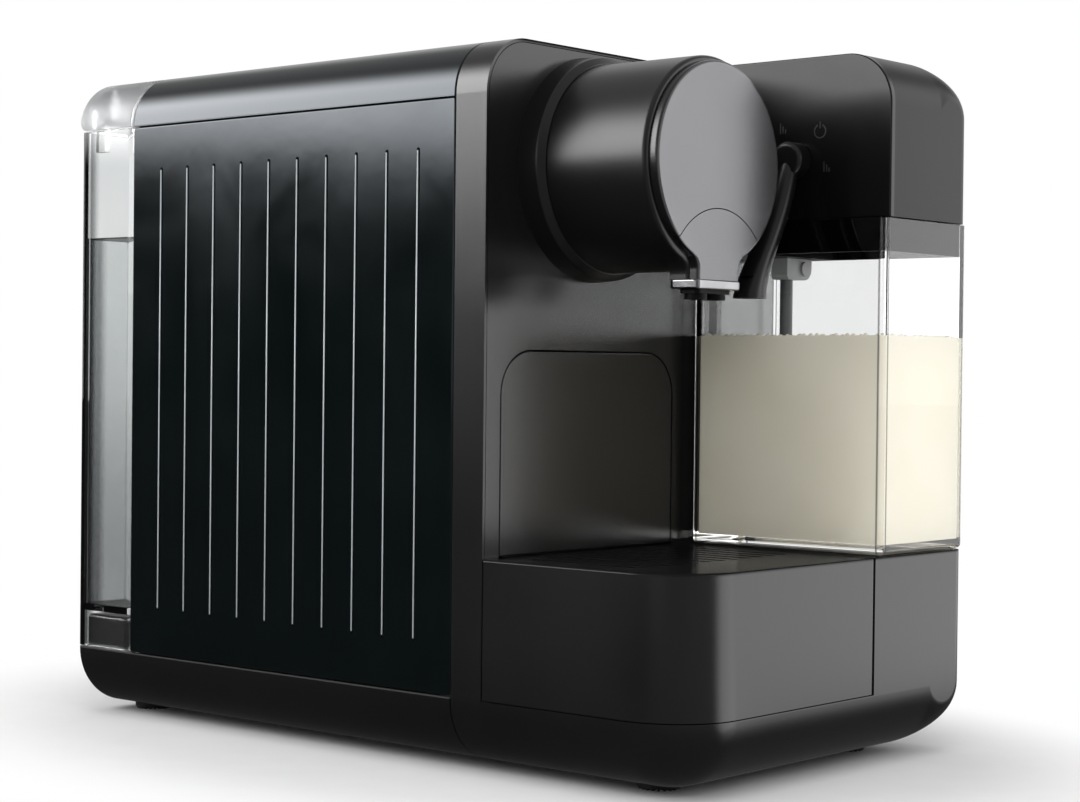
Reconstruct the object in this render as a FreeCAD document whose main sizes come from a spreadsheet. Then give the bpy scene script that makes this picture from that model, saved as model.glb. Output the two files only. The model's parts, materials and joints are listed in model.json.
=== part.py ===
import FreeCAD, Part
import math
import os
import re

import Sketcher

# A pod coffee machine with a milk jar. The front faces -Y, +Z is up, lengths are in millimetres, and the
# origin is on the table under the middle of the machine.
SIZES = {
    "width": 182, "depth": 330, "height": 272, "foot_height": 3, "wall": 3, "seam": 0.5,
    "top_radius": 21.5, "bottom_radius": 25,
    "frame_front": -71, "frame_back": -56, "cover_back": 129, "panel_low": 28.4, "panel_high": 249.5,
    "groove_count": 10, "groove_pitch": 16.4, "groove_first": -36.9, "groove_low": 47.6,
    "groove_high": 232, "groove_width": 1.8, "groove_depth": 0.9,
    "tray_right": 25.2, "tray_radius": 28, "tray_low": 28.8, "tray_high": 80.2, "tray_wall": 2.5,
    "slot_count": 12, "slot_pitch": 8, "slot_first": -76, "slot_width": 3.4,
    "bay_left": -82, "bay_right": 22, "bay_high": 157, "bay_radius": 17, "bin_back": 3,
    "brew_x": -30.5, "brew_z": 226, "barrel_radius": 39.5, "collar_radius": 43, "face_front": -132,
    "face_thick": 4, "neck_half": 13.2, "neck_back": -119, "neck_blend": 6, "spout_low": 183,
    "arc_drop": 48, "arc_radius": 31, "duct_radius": 2.5,
    "pivot_y": 18, "pivot_z": 230, "crank_reach": 14.142, "crank_rise": 24.495, "crank_length": 28.284,
    "pin_radius": 3, "lever_half": 33, "lever_tip": -50, "lever_sweep": 48.3, "lever_low": 266, "lever_high": 271.6,
    "piston_front": -44.2, "piston_radius": 22, "frame_half": 24,
    "head_left": 33, "head_low": 209, "head_radius": 20, "head_side_radius": 22, "corner_radius": 6,
    "arm_y": -122, "arm_z": 232, "arm_radius": 5,
    "jar_left": 30.5, "jar_right": 90.5, "jar_front": -164.5, "jar_back": -74.5, "jar_low": 80.5,
    "jar_high": 208.5, "jar_wall": 2.6, "jar_floor": 4, "jar_corner": 2.6, "lid_low": 196, "lid_room_back": -106.5,
    "mouth_half": 19, "mouth_front": -152, "mouth_back": -113, "milk_x": 67.5, "milk_z": 202.5, "pipe_y": -95,
    "tank_front": 130.6, "tank_floor": 44, "tank_wall": 2.5, "tank_corner": 4, "hinge_inset": 5,
    "valve_x": -40, "valve_y": 148, "hose_radius": 3.5, "pump_y": 75, "pump_z": 40,
}

doc = FreeCAD.newDocument("pod_coffee_machine")
sheet = doc.addObject("Spreadsheet::Sheet", "Sizes")
for line, (name, number) in enumerate(SIZES.items(), start=1):
    sheet.set(f"A{line}", name)
    sheet.set(f"B{line}", str(number))
    sheet.setAlias(f"B{line}", name)
doc.recompute()

PLANES = {"x": "YZ_Plane", "y": "XZ_Plane", "z": "XY_Plane"}
nodes = []


def formula(text):
    """The spreadsheet formula for a length that is written with the names of the sizes."""
    return re.sub(r"[a-z_]+", lambda word: "Sizes." + word.group(), str(text))


def value(text):
    """The number that a formula gives."""
    return float(sheet.evalExpression(formula(text)))


def node(thing, label):
    """Mark an object as a finished sub-part."""
    thing.Label = label
    nodes.append(thing)
    return thing


def new_body(name):
    """An empty body."""
    return doc.addObject("PartDesign::Body", name)


def place(thing, x="0", y="0", z="0"):
    """Put an object at a place that follows the sizes."""
    for letter, text in zip("xyz", (x, y, z)):
        thing.setExpression(f"Placement.Base.{letter}", formula(text))
    return thing


def rectangle(left, right, low, high, radius=None):
    """The corners of a rectangle, all rounded alike."""
    spots = [(left, low), (right, low), (right, high), (left, high)]
    return [spot + (radius,) if radius else spot for spot in spots]


def housing_outline(inset):
    """The rounded outline of the housing from the front, moved inwards."""
    left, right = f"-width / 2 + {inset}", f"width / 2 - {inset}"
    low, high = f"foot_height + {inset}", f"height - {inset}"
    soft, round_top = f"bottom_radius - {inset}", f"top_radius - {inset}"
    return [(left, low, soft), (right, low, soft), (right, high, round_top), (left, high, round_top)]


def roof_outline(low, inset):
    """The part of the housing outline above a level."""
    left, right = f"-width / 2 + {inset}", f"width / 2 - {inset}"
    high, soft = f"height - {inset}", f"top_radius - {inset}"
    return [(left, low), (right, low), (right, high, soft), (left, high, soft)]


def pin_point(rules, geometry, position, across, up):
    """Hold a point of a sketch at two formulas."""
    rules.append((Sketcher.Constraint("DistanceX", -1, 1, geometry, position, value(across)), across))
    rules.append((Sketcher.Constraint("DistanceY", -1, 1, geometry, position, value(up)), up))


def apply_rules(sketch, rules):
    """Add constraints to a sketch and bind those that have a formula."""
    start = sketch.ConstraintCount
    sketch.addConstraint([rule for rule, _ in rules])
    for index, (_, text) in enumerate(rules, start=start):
        if text is not None:
            sketch.setExpression(f"Constraints[{index}]", formula(text))


def draw_circle(sketch, across, up, radius):
    """A circle with its centre and radius bound."""
    centre = FreeCAD.Vector(value(across), value(up), 0)
    ring = sketch.addGeometry(Part.Circle(centre, FreeCAD.Vector(0, 0, 1), value(radius)), False)
    rules = [(Sketcher.Constraint("Radius", ring, value(radius)), radius)]
    pin_point(rules, ring, 3, across, up)
    apply_rules(sketch, rules)


def draw_path(sketch, corners, closed=True):
    """Lines through corners given as (across, up) or (across, up, radius), with tangent arcs."""
    count = len(corners)
    spots = [FreeCAD.Vector(value(corner[0]), value(corner[1]), 0) for corner in corners]
    radii = [corner[2] if len(corner) == 3 else None for corner in corners]
    arrive, leave, centres = list(spots), list(spots), [None] * count
    for i in range(count):
        if radii[i] is None:
            continue
        back = (spots[i - 1] - spots[i]).normalize()
        ahead = (spots[(i + 1) % count] - spots[i]).normalize()
        half = back.getAngle(ahead) / 2
        arrive[i] = spots[i] + back * (value(radii[i]) / math.tan(half))
        leave[i] = spots[i] + ahead * (value(radii[i]) / math.tan(half))
        centres[i] = spots[i] + (back + ahead).normalize() * (value(radii[i]) / math.sin(half))
    lines = count if closed else count - 1
    for i in range(lines):
        sketch.addGeometry(Part.LineSegment(leave[i], arrive[(i + 1) % count]), False)
    first = sketch.GeometryCount - lines
    rules = []
    for i in range(count):
        before, after = first + (i - 1) % count, first + i
        if radii[i] is None:
            if closed or 0 < i < count - 1:
                rules.append((Sketcher.Constraint("Coincident", before, 2, after, 1), None))
            end = (before, 2) if not closed and i == count - 1 else (after, 1)
            pin_point(rules, *end, corners[i][0], corners[i][1])
            continue
        start, stop = arrive[i] - centres[i], leave[i] - centres[i]
        left_turn = start.cross(stop).z > 0
        if not left_turn:
            start, stop = stop, start
        circle = Part.Circle(centres[i], FreeCAD.Vector(0, 0, 1), value(radii[i]))
        begin = math.atan2(start.y, start.x)
        finish = math.atan2(stop.y, stop.x)
        arc = sketch.addGeometry(Part.ArcOfCircle(circle, begin, finish), False)
        spot = sketch.addGeometry(Part.Point(spots[i]), True)
        rules.append((Sketcher.Constraint("Tangent", before, 2, arc, 1 if left_turn else 2), None))
        rules.append((Sketcher.Constraint("Tangent", after, 1, arc, 2 if left_turn else 1), None))
        rules.append((Sketcher.Constraint("PointOnObject", spot, 1, before), None))
        rules.append((Sketcher.Constraint("PointOnObject", spot, 1, after), None))
        rules.append((Sketcher.Constraint("Radius", arc, value(radii[i])), radii[i]))
        pin_point(rules, spot, 1, corners[i][0], corners[i][1])
    apply_rules(sketch, rules)


def sketch_on(body, axis, position, shapes):
    """A sketch across an axis: a list is an outline, a tuple is a circle."""
    sketch = body.newObject("Sketcher::SketchObject", f"{body.Name}_sketch")
    plane = next(item for item in body.Origin.OriginFeatures if item.Role == PLANES[axis])
    sketch.AttachmentSupport = [(plane, "")]
    sketch.MapMode = "FlatFace"
    sign = "-" if axis == "y" else ""
    sketch.setExpression("AttachmentOffset.Base.z", formula(f"{sign}({position})"))
    for shape in shapes:
        if isinstance(shape, list):
            draw_path(sketch, shape)
        else:
            draw_circle(sketch, *shape)
    return sketch


def pad(body, axis, low, high, *shapes):
    """Fill outlines between two positions along an axis."""
    feature = body.newObject("PartDesign::Pad", f"{body.Name}_pad")
    feature.Profile = sketch_on(body, axis, high if axis == "y" else low, shapes)
    feature.setExpression("Length", formula(f"({high}) - ({low})"))
    doc.recompute()
    return feature


def pocket(body, axis, low, high, *shapes):
    """Empty outlines between two positions along an axis."""
    feature = body.newObject("PartDesign::Pocket", f"{body.Name}_pocket")
    feature.Profile = sketch_on(body, axis, low if axis == "y" else high, shapes)
    feature.setExpression("Length", formula(f"({high}) - ({low})"))
    doc.recompute()
    return feature


def soften(body, radius, test):
    """Round the edges of the newest feature that pass a test."""
    base = body.Tip
    names = [f"Edge{i}" for i, edge in enumerate(base.Shape.Edges, start=1) if test(edge)]
    feature = body.newObject("PartDesign::Fillet", f"{body.Name}_fillet")
    feature.Base = (base, names)
    feature.setExpression("Radius", formula(radius))
    doc.recompute()
    return feature


def row(body, feature, count, length):
    """Repeat a feature along the first axis of its sketch."""
    pattern = body.newObject("PartDesign::LinearPattern", f"{body.Name}_row")
    pattern.Originals = [feature]
    pattern.Direction = (feature.Profile[0], ["H_Axis"])
    pattern.setExpression("Length", formula(length))
    pattern.setExpression("Occurrences", formula(count))
    body.Tip = pattern
    doc.recompute()
    return pattern


def turn(name, axis, *profiles):
    """A body turned about an axis through its own origin from (along, radius) profiles."""
    body = new_body(name)
    for profile in profiles:
        flip = axis != "x"
        corners = [((p[1], p[0]) if flip else (p[0], p[1])) + tuple(p[2:]) for p in profile]
        feature = body.newObject("PartDesign::Revolution", f"{name}_turn")
        feature.Profile = sketch_on(body, "y" if axis == "z" else "z", "0", [corners])
        feature.ReferenceAxis = (feature.Profile[0], ["V_Axis" if flip else "H_Axis"])
        feature.Angle = 360
        doc.recompute()
    return body


def hose(name, axis, position, corners, radius, start_axis, start, centre):
    """A round hose along a path that lies across an axis."""
    body = new_body(name)
    path = body.newObject("Sketcher::SketchObject", f"{name}_path")
    plane = next(item for item in body.Origin.OriginFeatures if item.Role == PLANES[axis])
    path.AttachmentSupport = [(plane, "")]
    path.MapMode = "FlatFace"
    sign = "-" if axis == "y" else ""
    path.setExpression("AttachmentOffset.Base.z", formula(f"{sign}({position})"))
    draw_path(path, corners, closed=False)
    feature = body.newObject("PartDesign::AdditivePipe", f"{name}_pipe")
    feature.Profile = sketch_on(body, start_axis, start, [(*centre, radius)])
    feature.Spine = path
    doc.recompute()
    return body


def block(name, left, right, front, back, low, high):
    """A plain block between six positions."""
    box = doc.addObject("Part::Box", name)
    box.setExpression("Length", formula(f"({right}) - ({left})"))
    box.setExpression("Width", formula(f"({back}) - ({front})"))
    box.setExpression("Height", formula(f"({high}) - ({low})"))
    return place(box, left, front, low)


def rod(name, radius, length, x, y, z, direction="z"):
    """A round bar that starts at a place and runs along an axis."""
    bar = doc.addObject("Part::Cylinder", name)
    bar.setExpression("Radius", formula(radius))
    bar.setExpression("Height", formula(length))
    turns = {"x": FreeCAD.Rotation(FreeCAD.Vector(0, 1, 0), 90),
             "y": FreeCAD.Rotation(FreeCAD.Vector(1, 0, 0), -90), "z": FreeCAD.Rotation()}
    bar.Placement = FreeCAD.Placement(FreeCAD.Vector(), turns[direction])
    return place(bar, x, y, z)


def round_corner(name, box, upright, front, side, is_upright, is_front, is_side):
    """Round the three edges that meet at a corner of a block, each with its own radius."""
    doc.recompute()
    feature = doc.addObject("Part::Fillet", name)
    feature.Base = box
    edges = []
    for i, edge in enumerate(box.Shape.Edges, start=1):
        for radius, test in ((upright, is_upright), (front, is_front), (side, is_side)):
            if test(edge.CenterOfMass):
                edges.append((i, value(radius), value(radius)))
    feature.Edges = edges
    doc.recompute()
    return feature


def join(name, *things):
    """One solid from several that meet."""
    made = doc.addObject("Part::MultiFuse", name)
    made.Shapes = list(things)
    made.Refine = True
    return made


def cut(name, base, tool):
    """A solid less another."""
    made = doc.addObject("Part::Cut", name)
    made.Base = base
    made.Tool = tool
    return made


def near(first, second):
    """Whether two lengths agree."""
    return abs(first - second) < 0.05


def runs_along(edge, axis):
    """Whether an edge is straight and parallel to an axis."""
    if edge.Curve.TypeId != "Part::GeomLine":
        return False
    return abs(getattr(edge.Curve.Direction, axis)) > 0.999


# Front frame: a closed strip with a rebate for the front wall and a tongue behind the panels.
frame = new_body("front_frame")
pad(frame, "y", "frame_front", "frame_back", housing_outline("0"))
pad(frame, "y", "frame_back", "frame_back + 8", housing_outline("wall"))
pocket(frame, "y", "frame_front", "frame_front + 3", housing_outline("1.2"))
pocket(frame, "y", "frame_front + 3", "frame_back - 4", housing_outline("wall"))
pocket(frame, "y", "frame_back - 4", "frame_back + 8", housing_outline("wall + 1.8"))
node(frame, "front_frame")

# Front wall: a plate in the rebate, with the bay for the drawer and holes for the pipes.
wall = new_body("front_wall")
pad(wall, "y", "frame_front", "frame_front + 3", housing_outline("1.5"))
BAY = [("bay_left", "tray_low - 3"), ("bay_right", "tray_low - 3"),
       ("bay_right", "bay_high", "bay_radius"), ("bay_left", "bay_high", "bay_radius")]
pocket(wall, "y", "frame_front", "frame_front + 3", BAY)
pocket(wall, "y", "frame_front", "frame_front + 3", ("brew_x", "brew_z", "6"), ("milk_x", "milk_z", "4.4"),
       ("milk_x", "arm_z", "hose_radius"), ("milk_x + 12", "arm_z + 4", "hose_radius"))
node(wall, "front_wall")

# Side panels: plates with a row of upright grooves; the right one mirrors the left one.
panel = new_body("side_panel_left")
pad(panel, "x", "-width / 2", "-width / 2 + wall",
    rectangle("frame_back + seam", "cover_back", "panel_low + seam", "panel_high", "1"))
soften(panel, "0.7", lambda edge: near(edge.BoundBox.XMax, -value("width") / 2))
groove = panel.newObject("PartDesign::Pocket", "side_panel_left_groove")
groove.Profile = sketch_on(panel, "x", "-width / 2", [
    rectangle("groove_first - groove_width / 2", "groove_first + groove_width / 2",
              "groove_low", "groove_high", "groove_width * 0.49")])
groove.Reversed = True
groove.setExpression("Length", formula("groove_depth"))
doc.recompute()
row(panel, groove, "groove_count", "groove_pitch * (groove_count - 1)")
node(panel, "side_panel_left")
mirror = doc.addObject("Part::Mirroring", "side_panel_right")
mirror.Source = panel
mirror.Normal = FreeCAD.Vector(1, 0, 0)
node(mirror, "side_panel_right")

# Top cover: a rounded roof with the well for the lever, whose rear edge follows the lever's sweep.
roof = new_body("top_cover")
pad(roof, "y", "frame_back + seam", "cover_back", roof_outline("panel_high + seam", "0"))
soften(roof, "0.7", lambda edge: near(edge.BoundBox.YMin, edge.BoundBox.YMax)
       and edge.BoundBox.ZMax > value("panel_high") + 2)
pocket(roof, "y", "frame_back + seam", "cover_back", roof_outline("panel_high + seam", "wall"))
pocket(roof, "z", "height - wall - 1", "height", rectangle(
    "brew_x - lever_half - 0.6", "brew_x + lever_half + 0.6", "lever_tip - seam", "pivot_y"))
pocket(roof, "x", "brew_x - lever_half - 0.6", "brew_x + lever_half + 0.6",
       ("pivot_y", "pivot_z", "lever_sweep + 0.6"))
node(roof, "top_cover")

# Rear wall: closes the housing in front of the tank.
back = new_body("rear_wall")
pad(back, "y", "cover_back - 3", "cover_back", housing_outline("wall"))
pocket(back, "y", "cover_back - 3", "cover_back", ("valve_x", "16", "hose_radius"))
node(back, "rear_wall")

# Rear base: a pan with rounded lower edges, closed under the tank.
BASE = [("-width / 2", "foot_height", "bottom_radius"), ("width / 2", "foot_height", "bottom_radius"),
        ("width / 2", "panel_low"), ("-width / 2", "panel_low")]
PAN = [("-width / 2 + wall", "foot_height + wall", "bottom_radius - wall"),
       ("width / 2 - wall", "foot_height + wall", "bottom_radius - wall"),
       ("width / 2 - wall", "panel_low"), ("-width / 2 + wall", "panel_low")]
DECK = [("-width / 2 + wall", "foot_height + wall", "bottom_radius - 7"),
        ("width / 2 - wall", "foot_height + wall", "bottom_radius - 7"),
        ("width / 2 - wall", "panel_low - wall"), ("-width / 2 + wall", "panel_low - wall")]
SCREWS = [(side * 62, spot) for side in (-1, 1) for spot in (-30, 115)]
pan = new_body("rear_base")
pad(pan, "y", "frame_back + seam", "depth / 2", BASE)
pocket(pan, "y", "frame_back + seam", "cover_back", PAN)
pocket(pan, "y", "cover_back", "depth / 2 - wall", DECK)
pocket(pan, "y", "depth / 2 - wall", "depth / 2", ("60", "15", "6.5"))
pocket(pan, "z", "panel_low - wall", "panel_low", ("valve_x", "valve_y", "6"))
pocket(pan, "z", "foot_height", "foot_height + 1.6", *[(x, y, "3.1") for x, y in SCREWS])
pocket(pan, "z", "foot_height + 1.6", "foot_height + wall", *[(x, y, "1.7") for x, y in SCREWS])
soften(pan, "tank_corner", lambda edge: runs_along(edge, "z") and near(edge.BoundBox.YMin, value("depth / 2")))
node(pan, "rear_base")

# Front base: the low block under the drip tray joined to the pedestal of the milk jar, hollow at the back.
low_block = new_body("front_base_low")
pad(low_block, "z", "foot_height", "tray_low - 0.4", [
    ("-width / 2", "-depth / 2", "tray_radius"), ("tray_right + 0.4", "-depth / 2"),
    ("tray_right + 0.4", "frame_front"), ("-width / 2", "frame_front")])
soften(low_block, "bottom_radius", lambda edge: near(edge.BoundBox.ZMax, value("foot_height"))
       and not near(edge.BoundBox.YMin, value("frame_front"))
       and not near(edge.BoundBox.XMin, value("tray_right + 0.4")))
pocket(low_block, "y", "-depth / 2 + tray_radius", "frame_front", [
    ("-width / 2 + wall", "foot_height + wall", "bottom_radius - 7"),
    ("tray_right + 0.4", "foot_height + wall"), ("tray_right + 0.4", "tray_low - 0.4 - wall"),
    ("-width / 2 + wall", "tray_low - 0.4 - wall")])
pedestal_box = block("pedestal_box", "tray_right + 0.4", "width / 2", "-depth / 2", "frame_front",
                     "foot_height", "jar_low - 0.4")
pedestal = round_corner(
    "pedestal", pedestal_box, "corner_radius", "bottom_radius", "bottom_radius",
    lambda c: near(c.x, value("width / 2")) and near(c.y, value("-depth / 2")),
    lambda c: near(c.z, value("foot_height")) and near(c.y, value("-depth / 2")),
    lambda c: near(c.z, value("foot_height")) and near(c.x, value("width / 2")))
pedestal_room = new_body("pedestal_room")
pad(pedestal_room, "y", "-depth / 2 + wall + corner_radius", "frame_front + 1", [
    ("tray_right + 0.4 + wall", "foot_height + 10"),
    ("width / 2 - wall", "foot_height + 10", "bottom_radius - 10"),
    ("width / 2 - wall", "jar_low - 0.4 - wall"), ("tray_right + 0.4 + wall", "jar_low - 0.4 - wall")])
hollow_pedestal = cut("hollow_pedestal", pedestal, pedestal_room)
node(join("front_base", low_block, hollow_pedestal), "front_base")

# Rubber feet, and the screws that hold the base.
FEET = [(-58, -128), (60, -130), (-60, 150), (60, 150)]
feet = doc.addObject("Part::Compound", "rubber_feet")
feet.Links = [rod(f"foot_{i}", "8", "foot_height", x, y, "0") for i, (x, y) in enumerate(FEET)]
node(feet, "rubber_feet")
screws = doc.addObject("Part::Compound", "base_screws")
screws.Links = [
    join(f"screw_{i}", rod(f"screw_head_{i}", "3", "1.2", x, y, "foot_height + 0.4"),
         rod(f"screw_shank_{i}", "1.5", "8", x, y, "foot_height + 1.6"))
    for i, (x, y) in enumerate(SCREWS)]
node(screws, "base_screws")

# Cord gland: a bush in the rear of the base.
gland = turn("cord_gland", "y", [("-5", "3.5"), ("0", "3.5"), ("0", "6.5"), ("-3", "6.5"), ("-3", "8"),
                                 ("-5", "8")])
node(place(gland, "60", "depth / 2", "15"), "cord_gland")

# Brew head: collar, barrel with its neck, face plate and spout cover.
collar = turn("brew_collar", "y", [("0", "barrel_radius + 0.1"), ("0", "collar_radius"),
                                   ("-8.5", "collar_radius - 0.6", "1.2"),
                                   ("-11", "barrel_radius + 0.6"), ("-11", "barrel_radius + 0.1")])
node(place(collar, "brew_x", "frame_front", "brew_z"), "brew_collar")


def on_neck_corner(edge):
    """Whether an edge is where the neck leaves the round of the brew head."""
    return (runs_along(edge, "y") and edge.BoundBox.ZMax < value("brew_z") - 30
            and edge.BoundBox.ZMin > value("spout_low") + 1)


barrel = new_body("brew_barrel")
pad(barrel, "y", "face_front + face_thick", "frame_front", ("brew_x", "brew_z", "barrel_radius"))
pad(barrel, "y", "face_front + face_thick", "neck_back", rectangle(
    "brew_x - neck_half", "brew_x + neck_half", "spout_low", "brew_z - 25"))
soften(barrel, "neck_blend", on_neck_corner)
soften(barrel, "2", lambda edge: near(edge.BoundBox.YMin, edge.BoundBox.YMax)
       and near(edge.BoundBox.YMin, value("face_front + face_thick"))
       and edge.BoundBox.ZMax > value("spout_low + 0.1"))
pocket(barrel, "y", "face_front + face_thick + 3", "frame_front",
       ("brew_x", "brew_z", "barrel_radius - 3"))
pocket(barrel, "z", "spout_low", "brew_z - 33", ("brew_x", "neck_back - 3", "duct_radius + 0.1"))
node(barrel, "brew_barrel")

face = new_body("face_plate")
pad(face, "y", "face_front", "face_front + face_thick", ("brew_x", "brew_z", "barrel_radius - 2"))
soften(face, "1.6", lambda edge: near(edge.BoundBox.YMax, value("face_front")))
pocket(face, "y", "face_front", "face_front + face_thick",
       ("brew_x", "brew_z - arc_drop", "arc_radius + 0.4"))
node(face, "face_plate")

spout_blank = new_body("spout_blank")
pad(spout_blank, "y", "face_front", "face_front + face_thick", ("brew_x", "brew_z", "barrel_radius - 2"))
pad(spout_blank, "y", "face_front", "face_front + face_thick", rectangle(
    "brew_x - neck_half + 0.6", "brew_x + neck_half - 0.6", "spout_low", "brew_z - 25"))
soften(spout_blank, "neck_blend", on_neck_corner)
soften(spout_blank, "1.6", lambda edge: near(edge.BoundBox.YMax, value("face_front"))
       and edge.BoundBox.ZMax > value("spout_low + 0.1"))
spout_round = rod("spout_round", "arc_radius", "face_thick", "brew_x", "face_front", "brew_z - arc_drop", "y")
spout = doc.addObject("Part::Common", "spout_cover")
spout.Base = spout_blank
spout.Tool = spout_round
node(spout, "spout_cover")

# Spout band and coffee nozzle with two outlets.
band = new_body("spout_band")
pad(band, "z", "spout_low - 3.4", "spout_low", rectangle(
    "brew_x - neck_half - 0.4", "brew_x + neck_half + 0.4", "face_front - 0.4", "neck_back + 0.4", "2.5"))
soften(band, "0.6", lambda edge: near(edge.BoundBox.ZMin, edge.BoundBox.ZMax))
pocket(band, "z", "spout_low - 3.4", "spout_low", rectangle(
    "brew_x - 10.5", "brew_x + 10.5", "face_front + 2", "neck_back - 2", "2"))
node(band, "spout_band")

nozzle = new_body("coffee_nozzle")
pad(nozzle, "z", "spout_low - 5", "spout_low", rectangle(
    "brew_x - 10.5", "brew_x + 10.5", "face_front + 2", "neck_back - 2", "2"))
OUTLETS = [(f"brew_x - {reach}", "neck_back - 6.5") for reach in ("5.6", "(-5.6)")]
pad(nozzle, "z", "spout_low - 7.2", "spout_low - 5", *[spot + ("4.2",) for spot in OUTLETS])
pocket(nozzle, "z", "spout_low - 7.2", "spout_low - 1.5", *[spot + ("2.4",) for spot in OUTLETS])
node(nozzle, "coffee_nozzle")

duct = hose("coffee_duct", "x", "brew_x", [("frame_front + 15", "brew_z"), ("neck_back - 3", "brew_z", "12"),
                                           ("neck_back - 3", "spout_low")],
            "duct_radius", "y", "frame_front + 15", ("brew_x", "brew_z"))
node(duct, "coffee_duct")

# Brew unit: a frame with slotted cheeks, pierce plate and gasket.
CHEEK = [("frame_front + 18", "brew_z - 21"), ("pivot_y + 10", "brew_z - 21"),
         ("pivot_y + 10", "pivot_z + 8", "6"), ("frame_front + 18", "pivot_z + 8")]
GUIDE = rectangle("frame_front + 40", "pivot_y - 2.5", "brew_z - 3.4", "brew_z + 3.4")
carrier = new_body("brew_frame")
pad(carrier, "y", "frame_front + 3", "frame_front + 19", rectangle(
    "brew_x - frame_half - 4", "brew_x + frame_half + 4", "brew_z - 26", "brew_z + 22"))
for left in ("brew_x - frame_half - 4", "brew_x + frame_half"):
    pad(carrier, "x", left, f"{left} + 4", CHEEK)
    pocket(carrier, "x", left, f"{left} + 4", GUIDE)
pocket(carrier, "y", "frame_front + 3", "frame_front + 15", ("brew_x", "brew_z", "6"))
pocket(carrier, "y", "frame_front + 15", "frame_front + 19", ("brew_x", "brew_z", "2"))
pad(carrier, "x", "brew_x - lever_half", "brew_x - frame_half - 4", ("pivot_y", "pivot_z", "4"))
pad(carrier, "x", "brew_x + frame_half + 4", "brew_x + lever_half", ("pivot_y", "pivot_z", "4"))
node(carrier, "brew_frame")

plate = turn("pierce_plate", "y", [("0", "2"), ("0", "21.5"), ("6", "21.5"), ("6", "2")])
for angle in range(0, 360, 60):
    across = 11 * math.cos(math.radians(angle))
    up = 11 * math.sin(math.radians(angle))
    pad(plate, "y", "5.5", "8", (f"{across:.3f}", f"{up:.3f}", "1"))
node(place(plate, "brew_x", "frame_front + 19", "brew_z"), "pierce_plate")
gasket = turn("brew_gasket", "y", [("0", "18.9"), ("0", "21.5"), ("1.4", "21.5", "0.5"), ("1.4", "18.9", "0.5")])
node(place(gasket, "brew_x", "frame_front + 25", "brew_z"), "brew_gasket")

# Piston: a cup for the capsule, side tongues in the cheeks and a yoke for the crank pin.
YOKE_Y = "pivot_y - crank_reach"
piston = turn("piston", "y", [("0", "18.8"), ("26", "16"), ("26", "0"), ("30", "0"), ("30", "piston_radius"),
                              ("0", "piston_radius")])
pad(piston, "y", "29", f"{YOKE_Y} + 18 - piston_front", ("0", "0", "8"))
pad(piston, "x", "-16", "16", rectangle(
    f"{YOKE_Y} - 6.6 - piston_front", f"{YOKE_Y} + 6.6 - piston_front", "-8",
    "pivot_z + crank_length - brew_z + pin_radius + 2.5", "2"))
pad(piston, "z", "-3", "3", rectangle("-frame_half - 3.4", "frame_half + 3.4", "18", "30"))
pocket(piston, "x", "-16", "16", rectangle(
    f"{YOKE_Y} - pin_radius - 0.6 - piston_front", f"{YOKE_Y} + pin_radius + 0.6 - piston_front",
    "pivot_z + crank_rise - brew_z - pin_radius - 0.5", "pivot_z + crank_length - brew_z + pin_radius + 0.5",
    "1.5"))
pocket(piston, "y", "28.2", f"{YOKE_Y} + 18 - piston_front", ("0", "0", "3.05"))
pocket(piston, "y", "25", "28.3", ("0", "0", "1.5"))
node(place(piston, "brew_x", "piston_front", "brew_z"), "piston")
lance = rod("water_lance", "3", "55.6", "brew_x", "12.4", "brew_z", "y")
node(lance, "water_lance")

# Lever: a flush handle with two cheeks on the pivot studs, and the crank pin between them.
lever = new_body("lever")
pad(lever, "x", "brew_x - lever_half", "brew_x + lever_half", [
    ("lever_tip", "lever_low", "2"), ("pivot_y + 15", "lever_low"), ("pivot_y + 23.2", "lever_high"),
    ("lever_tip", "lever_high", "2")])
for left in ("brew_x - lever_half", "brew_x + lever_half - 4"):
    pad(lever, "x", left, f"{left} + 4", [
        ("pivot_y - 9", "pivot_z - 9", "8"), ("pivot_y + 9", "pivot_z - 9", "8"),
        ("pivot_y + 13", "lever_low + 1"), ("lever_tip + 20", "lever_low + 1"),
        ("lever_tip + 20", "lever_low - 6", "4"), ("pivot_y - 22", "pivot_z + 18", "6")])
    pocket(lever, "x", left, f"{left} + 4", ("pivot_y", "pivot_z", "4.05"),
           ("pivot_y - crank_reach", "pivot_z + crank_rise", "pin_radius"))
pocket(lever, "z", "lever_high - 1.2", "lever_high", rectangle(
    "brew_x - 14", "brew_x + 14", "lever_tip + 5", "lever_tip + 15", "4.5"))
node(lever, "lever")
pin = rod("crank_pin", "pin_radius", "lever_half * 2", "brew_x - lever_half", YOKE_Y,
          "pivot_z + crank_rise", "x")
node(pin, "crank_pin")

# Milk head: a shell with three different radii at one corner, touch panel, floor, board and frother.
shell_box = block("shell_box", "head_left + 2.5", "width / 2", "-depth / 2", "frame_front", "head_low", "height")
room_box = block("room_box", "head_left + 2.5", "width / 2 - 2.5", "-depth / 2 + 2.5", "frame_front",
                 "head_low", "height - 2.5")


def head_corner(name, box, inset):
    """Round the front, top and side edges of the milk head, moved inwards."""
    front, side, high = (value(f"-depth / 2 + {inset}"), value(f"width / 2 - {inset}"), value(f"height - {inset}"))
    return round_corner(
        name, box, f"corner_radius - {inset}", f"head_radius - {inset}", f"head_side_radius - {inset}",
        lambda c: near(c.x, side) and near(c.y, front),
        lambda c: near(c.z, high) and near(c.y, front),
        lambda c: near(c.z, high) and near(c.x, side))


head = cut("head_shell", head_corner("shell_round", shell_box, "0"), head_corner("room_round", room_box, "2.5"))
node(head, "head_shell")

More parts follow.
